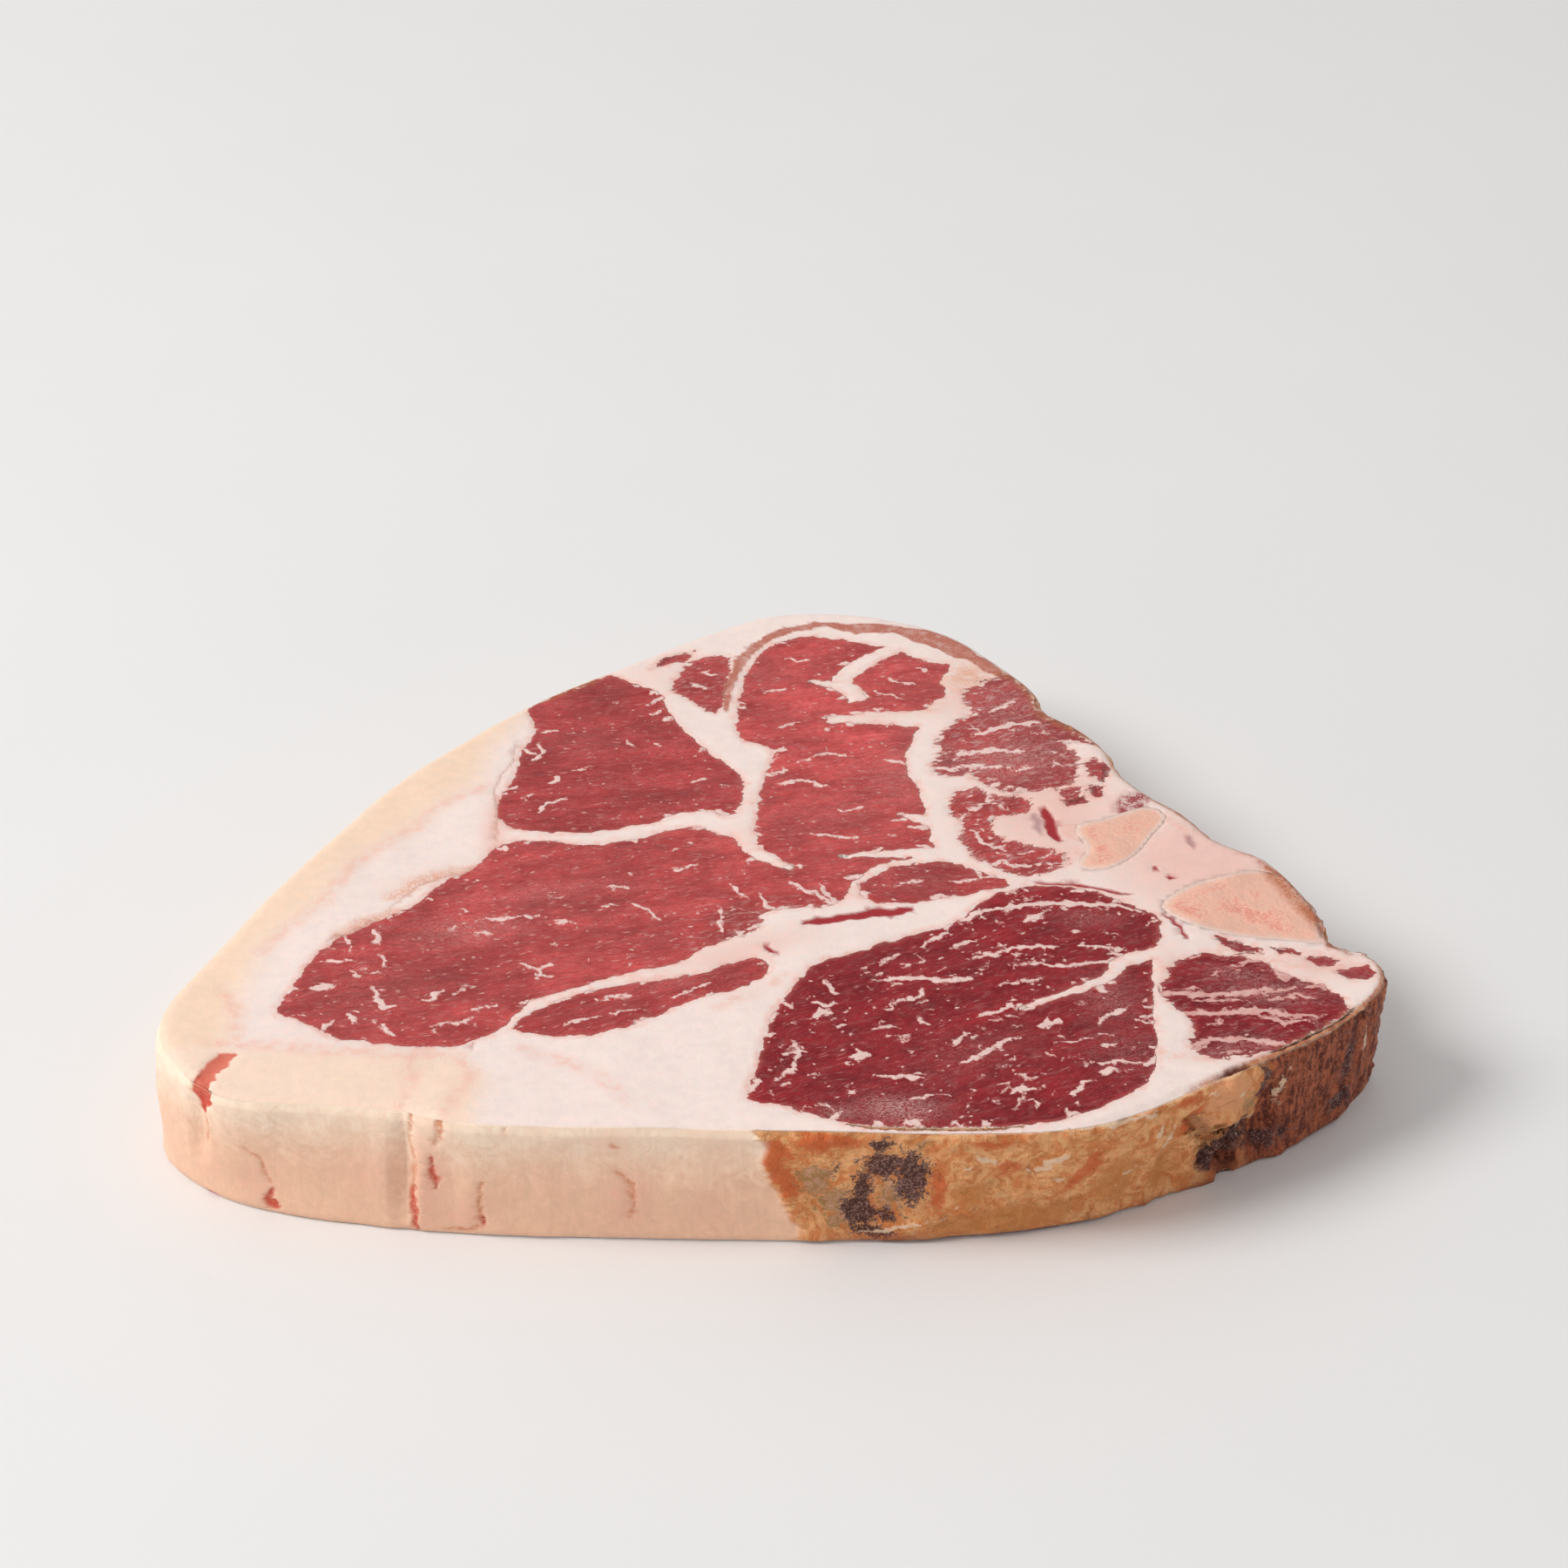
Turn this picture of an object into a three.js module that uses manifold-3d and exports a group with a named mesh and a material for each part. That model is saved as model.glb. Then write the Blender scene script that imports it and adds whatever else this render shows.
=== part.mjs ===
// A raw bone-in beef sirloin steak, lying flat on one of its two cut faces.
// The slab is cut across the animal's back, so every muscle, the fat between and around them, and the two
// sawn bones run straight through it from one cut face to the other. Each of them is a solid of its own.
// Millimetres, +Z up. The near edge, with the tenderloin, faces -Y, and the bones are on the +X side.
// The origin is the middle of the slab's footprint, on the face that it lies on.
import * as THREE from "three";
import { mergeVertices } from "three/addons/utils/BufferGeometryUtils.js";
import Module from "manifold-3d";

const wasm = await Module();
wasm.setup();

// Driving sizes of the slab
const THICKNESS = 30;
const RIM_RADIUS = 2.6; // rounding of the upper edge
const FOOT_RADIUS = 1.6; // rounding of the lower edge
const SIDE_COLUMNS = 210; // facets round the side wall
const SIDE_ROWS = 8; // facets up the flat of the side wall
const ROUND_ROWS = 2; // facets over each rounded edge
const CORE_ROWS = 5; // facets up the core that the muscles and bones keep within
const SPARE = 5; // cutting shapes reach this far past the cut faces
const OUTLINE_STEP = 3; // length of a facet along a muscle's or bone's outline
const TISSUE_GAP = 0.15; // each neighbour stands back this far from a shared boundary
const CRUST = 2; // dried skin of the side wall, which no muscle or bone breaks through

// The slab's edge, anticlockwise from the near left corner, in four stretches. Each point is x, y of the
// upper edge, and how far the foot of the wall stands out (+) or is undercut (-) below it.
const NEAR_FAT_EDGE = [
  [-118.5, -69, -0.8],
  [-110, -74, -1.5],
  [-92, -76, 1.5],
  [-76, -78.6, 2],
  [-66, -81.8, 0],
  [-30, -83.8, -0.5],
  [5, -84.6, -0.5],
];
const TENDERLOIN_EDGE = [
  [39, -86, -3.5],
  [62, -84, -5.5],
  [76, -78.3, -6],
  [91, -68.8, -5],
  [103, -61, -3.5],
  [115, -52.5, -3],
  [125, -43, -3.5],
  [130, -33.5, -2],
  [128.3, -24.5, 0],
];
const BONE_EDGE = [
  [120, -20.3, 1],
  [118.3, -9, 1],
  [113.5, 4, 1],
  [108.3, 13, 0],
  [98.5, 20, 0],
  [94, 28, 0],
  [86, 38, 0],
  [79.6, 47.5, 0],
  [77, 57.5, 0],
  [71, 67, 0],
  [63.8, 74, 0],
  [62.2, 83, 0],
  [55, 95.5, 0],
  [45, 108, 0],
];
const FAT_CAP_EDGE = [
  [35, 114.5, 0],
  [22, 119.4, 0],
  [8, 121, 0],
  [-6, 117.8, 0],
  [-30, 100.8, 0],
  [-57, 79.3, 0],
  [-85, 46.5, 0],
  [-99.5, 22, 0],
  [-110.5, -1, 0],
  [-120.8, -24, 0],
  [-128.4, -46, 0.6],
  [-127, -57, 1.4],
];

// Lumps (+) and hollows (-) of the side wall: place on the edge, reach along the edge, how far out, and the
// heights between which it lies.
const WALL_FORMS = [
  { at: [-118.5, -69], reach: 4, out: -1.6, low: 6, high: 30 }, // bloodshot groove at the corner
  { at: [-74.5, -78.3], reach: 3.2, out: -2.4, low: -4, high: 34 }, // split through the fat
  { at: [-67, -81], reach: 3.2, out: -1.5, low: -2, high: 24 }, // its second arm
  { at: [-20, -83.8], reach: 16, out: 0.8, low: 2, high: 24 }, // smooth belly of the fat
  { at: [19, -85], reach: 8, out: -1.2, low: 2, high: 26 }, // dried patch beside the tenderloin
  { at: [60, -84], reach: 14, out: 1.2, low: 6, high: 26 }, // crust over the tenderloin
  { at: [83.5, -74], reach: 4.5, out: -2.4, low: -2, high: 24 }, // cleft before the fold
  { at: [93, -68], reach: 7, out: 3.6, low: 6, high: 27 }, // fold of fat that hangs out
  { at: [102, -62], reach: 4.5, out: -2.8, low: -2, high: 26 }, // dark cleft behind the fold
  { at: [122, -46], reach: 7, out: 1.2, low: -6, high: 22 }, // dried end of the side muscle
  { at: [118.8, -13], reach: 6, out: 1.2, low: -4, high: 26 }, // flank of the sawn vertebra
];

// Muscles, anticlockwise. One that reaches the slab's edge stops at the dried skin of the side wall.
const MUSCLES = {
  rump_muscle: [
    // near edge, from the tip at the left
    [-104, -46], [-97, -50], [-92.5, -53.8], [-82, -56.5], [-70, -57.3], [-60, -54], [-55, -47.5],
    [-50, -40.5], [-40, -36], [-31, -31.5], [-21, -28], [-14, -21], [-4, -16], [-2.5, -9], [7, -7],
    // right edge, up to the far lobe
    [14.5, -5], [17.5, 3], [25, 10.2], [34.5, 13], [34.5, 25], [33.5, 36], [30, 50], [31.5, 60],
    [34, 68], [37, 77], [40.5, 82], [39.5, 89], [42.5, 94.8], [35, 96.8], [29.5, 102],
    // far lobe and the left edge back to the tip
    [20, 105], [12, 108], [5, 107.5], [-1, 104], [-5, 98], [-8, 86], [-9.5, 70], [-7.5, 61],
    [-1, 57.5], [-2.5, 46], [-4, 35], [-5, 24], [-12, 21], [-18, 24.3], [-30, 20.5], [-42, 17.5],
    [-57, 19.3], [-62.5, 16], [-66.5, 8.5], [-74, 1.5], [-77, -5], [-86, -12.5], [-94, -19],
    [-99, -27], [-101.5, -37],
  ],
  rump_cap_muscle: [
    [-61, 25.5], [-46, 22], [-28, 26.5], [-17, 31], [-10, 28.5], [-7.5, 35], [-8, 45.5], [-17, 58.5],
    [-24.5, 71.5], [-27.5, 81], [-33, 85.5], [-42, 91], [-53, 84], [-59, 77], [-56.5, 66], [-59, 55],
    [-60.5, 43], [-63.5, 34],
  ],
  rump_edge_muscle: [
    [-54.5, -51], [-46, -53.6], [-38, -53.4], [-28, -49], [-17, -41], [-6, -36], [-1, -30],
    [-2, -26], [-8, -27], [-16, -31.5], [-30, -35], [-42, -39.5], [-49.5, -44],
  ],
  tenderloin_muscle: [
    [-5.5, -74.5], [3, -77.2], [13, -82], [28, -84], [45, -83.6], [60, -80.3], [71, -74], [77, -67],
    [79, -56], [79.3, -42], [81, -26], [82.5, -19], [83.5, -13], [80, -8], [74, -3.5], [66, 0.2],
    [55, 0.6], [45, -5], [41, -11], [29, -17.5], [17, -24], [7, -30], [4, -37], [-0.5, -45.5],
    [-2.3, -56], [-4, -66],
  ],
  loin_eye_muscle: [
    [36.2, 46.5], [45, 45], [51, 39.5], [60, 39.3], [68.5, 43.5], [70, 54], [67, 59.3], [79, 59.5],
    [70, 72], [65, 80], [63, 90], [54.5, 90.5], [44, 81.5], [46, 76], [41, 67], [38, 61], [38, 54],
  ],
  loin_hook_muscle: [
    [41.5, 19], [46, 10.5], [51, 6], [57, 4.8], [62, 7], [65.3, 12.5], [58, 16.5], [50.5, 20],
    [48.5, 27], [57, 31], [57.5, 36.8], [50, 37], [45, 40.5], [40.5, 37], [39.5, 31], [42, 26],
  ],
  seam_muscle: [
    [18.5, 2], [20, -4.5], [28, -5.3], [38, -3], [46, -1.2], [52, 1.2], [44.5, 6.8], [37, 10], [28, 9],
    [22.5, 6],
  ],
  side_muscle: [
    [81, -38.5], [84.5, -44], [87, -50], [85.5, -56.5], [89, -61], [97, -60.3], [105, -57.5],
    [112, -54], [116, -49], [120, -45.5], [118.5, -38.5], [113, -34], [107, -31.5], [104.5, -27.5],
    [96, -24.8], [90, -24.2], [84.5, -28.5], [82.5, -33],
  ],
  tip_muscle: [
    [-24.5, 83], [-19, 77], [-14.5, 73], [-12, 80], [-11.5, 92], [-11, 99.3], [-18, 98], [-23, 92],
  ],
};

const BONES = {
  arch_bone: [
    [67.5, 8.5], [72.5, 7.5], [79, 12], [84, 20.5], [88, 29], [84.5, 32.5], [75.5, 28], [67.8, 24.5],
    [69.8, 16],
  ],
  body_bone: [
    [84.5, -7], [88.5, -12], [97, -16.3], [108, -18.8], [122, -19.5], [121, -8], [116, 0],
    [107, 6.3], [98, 4], [89, -0.8],
  ],
};

// Thick fingers of fat that run into a muscle from the fat round it: a route from root to tip, and the width
// at each end.
const FAT_FINGERS = {
  rump_muscle: [
    { route: [[38, 14], [25, 13.4], [14, 12.6]], root: 4.4, tip: 0.8 },
    { route: [[38, 24.5], [33, 27.5], [27.5, 29.6]], root: 5, tip: 0.8 },
    { route: [[-8.5, 27], [-5, 15], [4, 7.5]], root: 6, tip: 2 },
    { route: [[39, 71], [24, 70.6], [12, 69.6]], root: 8, tip: 2.4 },
    { route: [[31, 104], [20, 94.5], [16, 88], [20, 78.5]], root: 4, tip: 5 },
    { route: [[17.5, 84.5], [8, 88.2]], root: 4, tip: 0.8 },
  ],
  tenderloin_muscle: [
    { route: [[84, -23.5], [74, -27.5], [70, -33.5], [60, -39.8], [51, -44.5]], root: 4.2, tip: 0.8 },
  ],
};

const LEAN = { color: 0xb45557, roughness: 0.4, metalness: 0 };
const FINISHES = {
  fat: { color: 0xf1d9cb, roughness: 0.5, metalness: 0 },
  rump_muscle: LEAN,
  rump_cap_muscle: { ...LEAN, color: 0xa84a4c },
  rump_edge_muscle: { ...LEAN, color: 0xa94649 },
  tenderloin_muscle: { ...LEAN, color: 0x8a353b },
  loin_eye_muscle: { ...LEAN, color: 0xb0635f },
  loin_hook_muscle: { ...LEAN, color: 0xae5654 },
  seam_muscle: { ...LEAN, color: 0xa9575a },
  side_muscle: { ...LEAN, color: 0x7c3a3c },
  tip_muscle: { ...LEAN, color: 0xaa5a58 },
  arch_bone: { color: 0xe8beaf, roughness: 0.6, metalness: 0 },
  body_bone: { color: 0xecb6a1, roughness: 0.6, metalness: 0 },
};

// 1 at the middle of a form, falling smoothly to 0 at its reach
function swell(distance, reach) {
  const share = Math.min(Math.abs(distance) / reach, 1);
  return (1 - share * share) ** 2;
}

// How far the side wall stands out of its plain shape at a place on the edge and a height.
function wallRelief(x, y, z) {
  let out = 0.35 * Math.sin(x / 9 + z / 7) * Math.cos(y / 11 - z / 10);
  for (const form of WALL_FORMS) {
    const middle = (form.low + form.high) / 2;
    const along = swell(Math.hypot(x - form.at[0], y - form.at[1]), form.reach);
    out += form.out * along * swell(z - middle, form.high - middle);
  }
  return out;
}

// Rows of the side wall from the lower face to the upper, each with its inset by the rounded edges.
function wallRows() {
  const rows = [];
  for (let i = 0; i <= ROUND_ROWS; i++) {
    const turn = ((i / ROUND_ROWS) * Math.PI) / 2;
    rows.push({ z: FOOT_RADIUS * (1 - Math.cos(turn)), inset: FOOT_RADIUS * (1 - Math.sin(turn)) });
  }
  const rise = THICKNESS - RIM_RADIUS - FOOT_RADIUS;
  for (let i = 1; i < SIDE_ROWS; i++) rows.push({ z: FOOT_RADIUS + (rise * i) / SIDE_ROWS, inset: 0 });
  for (let i = 0; i <= ROUND_ROWS; i++) {
    const turn = ((i / ROUND_ROWS) * Math.PI) / 2;
    rows.push({
      z: THICKNESS - RIM_RADIUS * (1 - Math.sin(turn)),
      inset: RIM_RADIUS * (1 - Math.cos(turn)),
    });
  }
  return rows;
}

// Rows of the core that the muscles and bones keep within: straight edges, and taller than the slab.
function coreRows(inset) {
  const rows = [];
  for (let i = 0; i <= CORE_ROWS; i++) {
    rows.push({ z: -SPARE + ((THICKNESS + 2 * SPARE) * i) / CORE_ROWS, inset });
  }
  return rows;
}

function solidFrom(geometry) {
  geometry.deleteAttribute("normal");
  geometry.deleteAttribute("uv");
  const merged = mergeVertices(geometry, 1e-4);
  return new wasm.Manifold(
    new wasm.Mesh({
      numProp: 3,
      vertProperties: new Float32Array(merged.attributes.position.array),
      triVerts: new Uint32Array(merged.index.array),
    }),
  );
}

// A slab of given rows: rings of points up the side wall, closed by a flat face below and one above.
function makeSlab(rows) {
  const edge = [...NEAR_FAT_EDGE, ...TENDERLOIN_EDGE, ...BONE_EDGE, ...FAT_CAP_EDGE];
  const curve = new THREE.CatmullRomCurve3(
    edge.map(([x, y, foot]) => new THREE.Vector3(x, y, foot)),
    true,
  );
  const stations = curve.getSpacedPoints(SIDE_COLUMNS).slice(0, SIDE_COLUMNS);
  const rings = rows.map((row) => stations.map((p, i) => {
    const before = stations[(i + SIDE_COLUMNS - 1) % SIDE_COLUMNS];
    const after = stations[(i + 1) % SIDE_COLUMNS];
    const outward = new THREE.Vector2(after.y - before.y, before.x - after.x).normalize();
    const flare = p.z * (1 - row.z / THICKNESS) - row.inset + wallRelief(p.x, p.y, row.z);
    return new THREE.Vector2(p.x + outward.x * flare, p.y + outward.y * flare);
  }));
  const positions = [];
  rings.forEach((points, r) => points.forEach((p) => positions.push(p.x, p.y, rows[r].z)));

  const faces = [];
  for (let r = 0; r + 1 < rows.length; r++) {
    for (let i = 0; i < SIDE_COLUMNS; i++) {
      const next = (i + 1) % SIDE_COLUMNS;
      const [a, b] = [r * SIDE_COLUMNS + i, r * SIDE_COLUMNS + next];
      faces.push(a, b, b + SIDE_COLUMNS, a, b + SIDE_COLUMNS, a + SIDE_COLUMNS);
    }
  }
  const topStart = (rows.length - 1) * SIDE_COLUMNS;
  for (const [a, b, c] of THREE.ShapeUtils.triangulateShape(rings[0], [])) faces.push(a, c, b);
  for (const [a, b, c] of THREE.ShapeUtils.triangulateShape(rings[rows.length - 1], [])) {
    faces.push(topStart + a, topStart + b, topStart + c);
  }
  const geometry = new THREE.BufferGeometry();
  geometry.setAttribute("position", new THREE.Float32BufferAttribute(positions, 3));
  geometry.setIndex(faces);
  return solidFrom(geometry);
}

// A column that stands through the slab, over a closed plan of points.
function column(plan) {
  const geometry = new THREE.ExtrudeGeometry(new THREE.Shape(plan), {
    depth: THICKNESS + 2 * SPARE,
    bevelEnabled: false,
  });
  geometry.translate(0, 0, -SPARE);
  return solidFrom(geometry);
}

// Evenly spaced points round a closed outline, moved outwards by grow.
function outlinePlan(outline, grow) {
  const curve = new THREE.CatmullRomCurve3(
    outline.map(([x, y]) => new THREE.Vector3(x, y, 0)),
    true,
  );
  const count = Math.round(curve.getLength() / OUTLINE_STEP);
  const points = curve.getSpacedPoints(count).slice(0, count);
  return points.map((p, i) => {
    const before = points[(i + count - 1) % count];
    const after = points[(i + 1) % count];
    const outward = new THREE.Vector2(after.y - before.y, before.x - after.x).normalize();
    return new THREE.Vector2(p.x + outward.x * grow, p.y + outward.y * grow);
  });
}

// The plan of a finger of fat, tapering from root to tip along its route.
function fingerPlan({ route, root, tip }, grow) {
  const curve = new THREE.CatmullRomCurve3(route.map(([x, y]) => new THREE.Vector3(x, y, 0)));
  const steps = Math.round(curve.getLength() / OUTLINE_STEP);
  const [left, right] = [[], []];
  for (let i = 0; i <= steps; i++) {
    const share = i / steps;
    const p = curve.getPointAt(share);
    const along = curve.getTangentAt(share);
    const half = THREE.MathUtils.lerp(root, tip, share) / 2 + grow;
    left.push(new THREE.Vector2(p.x - along.y * half, p.y + along.x * half));
    right.push(new THREE.Vector2(p.x + along.y * half, p.y - along.x * half));
  }
  return [...right, ...left.reverse()];
}

// A muscle or bone as a column within the core, less its fingers of fat. A positive grow gives the pocket
// that it sits in.
function tissueColumn(name, outline, core, grow) {
  let solid = column(outlinePlan(outline, grow)).intersect(core);
  for (const finger of FAT_FINGERS[name] ?? []) solid = solid.subtract(column(fingerPlan(finger, -grow)));
  return solid;
}

function meshFrom(name, solid) {
  const { numProp, vertProperties, triVerts } = solid.getMesh();
  const geometry = new THREE.BufferGeometry();
  const positions = [];
  for (let i = 0; i < vertProperties.length; i += numProp) {
    positions.push(...vertProperties.subarray(i, i + 3));
  }
  geometry.setAttribute("position", new THREE.Float32BufferAttribute(positions, 3));
  geometry.setIndex(new THREE.BufferAttribute(new Uint32Array(triVerts), 1));
  geometry.computeVertexNormals();
  const mesh = new THREE.Mesh(geometry, new THREE.MeshStandardMaterial(FINISHES[name]));
  mesh.name = name;
  return mesh;
}

const steak = new THREE.Group();
steak.name = "steak";
const slab = makeSlab(wallRows());
const tissueCore = makeSlab(coreRows(CRUST + TISSUE_GAP));
const pocketCore = makeSlab(coreRows(CRUST - TISSUE_GAP));
let fat = slab;
for (const [name, outline] of Object.entries({ ...MUSCLES, ...BONES })) {
  steak.add(meshFrom(name, slab.intersect(tissueColumn(name, outline, tissueCore, -TISSUE_GAP))));
  fat = fat.subtract(tissueColumn(name, outline, pocketCore, TISSUE_GAP));
}
steak.add(meshFrom("fat", fat));

// The outlines are drawn about a point near the middle of the slab: the origin goes to its exact middle.
const middle = new THREE.Box3().setFromObject(steak).getCenter(new THREE.Vector3());
steak.position.set(-middle.x, -middle.y, 0);

export default steak;
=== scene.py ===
# %% [markdown]
# # A raw bone-in beef steak
# The steak is a slab, sawn straight across the animal. On its flat face the cut muscles, the fat round them
# and two sawn bones lie side by side like the pieces of a map, and its rim has partly dried to a brown crust.
# The CAD frame already holds each of them as a plain solid. This lesson gives them their skin.

# %% Load the frame
import math
import random

import bmesh
import bpy
import numpy as np
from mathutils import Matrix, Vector, noise


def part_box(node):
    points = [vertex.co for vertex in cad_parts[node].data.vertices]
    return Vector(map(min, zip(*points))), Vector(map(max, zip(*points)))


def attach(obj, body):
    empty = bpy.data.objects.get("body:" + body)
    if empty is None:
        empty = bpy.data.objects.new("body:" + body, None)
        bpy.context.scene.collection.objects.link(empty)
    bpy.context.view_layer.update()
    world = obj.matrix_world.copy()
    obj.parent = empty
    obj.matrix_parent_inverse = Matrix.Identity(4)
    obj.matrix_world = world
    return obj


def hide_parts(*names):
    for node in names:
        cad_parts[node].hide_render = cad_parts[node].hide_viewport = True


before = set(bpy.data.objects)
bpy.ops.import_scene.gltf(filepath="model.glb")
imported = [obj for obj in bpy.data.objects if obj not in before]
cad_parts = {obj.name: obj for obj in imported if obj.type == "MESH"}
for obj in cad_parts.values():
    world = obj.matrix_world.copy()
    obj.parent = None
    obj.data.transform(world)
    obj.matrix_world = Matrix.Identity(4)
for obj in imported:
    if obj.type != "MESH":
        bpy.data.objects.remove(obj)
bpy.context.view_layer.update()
bpy.ops.object.select_all(action="DESELECT")

MM = 0.001
THICKNESS = 30.0
PLAN_CENTRE = np.array((0.223, 17.832))  # every place below is given in mm from a point near the middle
MUSCLES = [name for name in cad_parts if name.endswith("_muscle")]
BONES = [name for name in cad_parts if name.endswith("_bone")]
print("muscles", MUSCLES, "bones", BONES)

# %% [markdown]
# ## Camera
# The photograph looks down on the steak at 33 degrees from the level, with a long lens. A long lens from far
# away keeps the near and far edges in almost the same scale, as they are there.

# %% Camera
DOWN_TILT = math.radians(33)
bpy.ops.object.camera_add(location=(0.00169, -0.6625, 0.476), rotation=(math.pi / 2 - DOWN_TILT, 0, 0))
camera = bpy.context.object
camera.data.lens = 82
camera.data.sensor_width = 36
bpy.context.scene.camera = camera
print("camera", tuple(round(value, 3) for value in camera.location))

# %% [markdown]
# ## The lie of the land
# The borders of the muscles and bones come from the frame's own solids, so that the skin's colours meet the
# solids underneath. A border is every edge between a solid's upper face and its side.

# %% Borders of the muscles and bones
def upper_border(node):
    """Edges round the upper face of a solid, in mm, as an array of (start, end) pairs of x, y."""
    mesh = bmesh.new()
    mesh.from_mesh(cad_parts[node].data)
    bmesh.ops.remove_doubles(mesh, verts=mesh.verts, dist=1e-6)
    pairs = []
    for edge in mesh.edges:
        heights = sorted(face.normal.z for face in edge.link_faces)
        if len(heights) == 2 and heights[1] > 0.5 and abs(heights[0]) < 0.4 and edge.verts[0].co.z > 0.02:
            pairs.append([[v.co.x / MM, v.co.y / MM] for v in edge.verts])
    mesh.free()
    return np.array(pairs) + PLAN_CENTRE


borders = {node: upper_border(node) for node in MUSCLES + BONES}
print("border edges", {node: len(edges) for node, edges in borders.items()})

# %% [markdown]
# Distance is the painter's ruler here. If every point of the skin knows how far inside a muscle it lies, one
# material can turn that number into a crisp border, a pink stain along it or a step in height.

# %% Distances in plan
def to_edges(points, edges):
    """Distance in mm from each point to the nearest of the edges."""
    nearest = np.full(len(points), 1e6)
    for start, end in edges:
        along = end - start
        length = max(along @ along, 1e-9)
        share = np.clip((points - start) @ along / length, 0, 1)
        gap = points - start - share[:, None] * along
        nearest = np.minimum(nearest, (gap * gap).sum(1))
    return np.sqrt(nearest)


def inside(points, edges):
    """Whether each point lies inside the closed border: a ray to the right crosses it an odd number of times."""
    odd = np.zeros(len(points), bool)
    for (x0, y0), (x1, y1) in edges:
        between = (y0 > points[:, 1]) != (y1 > points[:, 1])
        if between.any():
            crossing = x0 + (points[:, 1] - y0) * (x1 - x0) / ((y1 - y0) or 1e-9)
            odd ^= between & (points[:, 0] < crossing)
    return odd


def depth_inside(points, edges, reach=6.0):
    """Signed distance to a closed border in mm: positive inside, no less than minus the reach outside."""
    low, high = edges.min((0, 1)) - reach, edges.max((0, 1)) + reach
    near = ((points > low) & (points < high)).all(1)
    depth = np.full(len(points), -reach)
    away = to_edges(points[near], edges)
    depth[near] = np.where(inside(points[near], edges), away, -away)
    return np.maximum(depth, -reach)


def loop_edges(corners):
    corners = np.array(corners, float)
    return np.stack([corners, np.roll(corners, -1, 0)], 1)


probe = np.array([[-50.0, -20.0], [30.0, -50.0], [-100.0, -60.0]])
print("depth in the rump muscle at three points", depth_inside(probe, borders["rump_muscle"]).round(1))

# %% [markdown]
# ## Marbling
# Marbling is fat that follows the fibres: flecks and short forked streaks, all leaning one way in a muscle.
# The large streaks are read off the photograph as a width and a few points each. The hundreds of small flecks,
# and the pointed spurs of fat that grow in from the borders, are strewn by seeded rules that keep the grain.

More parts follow.
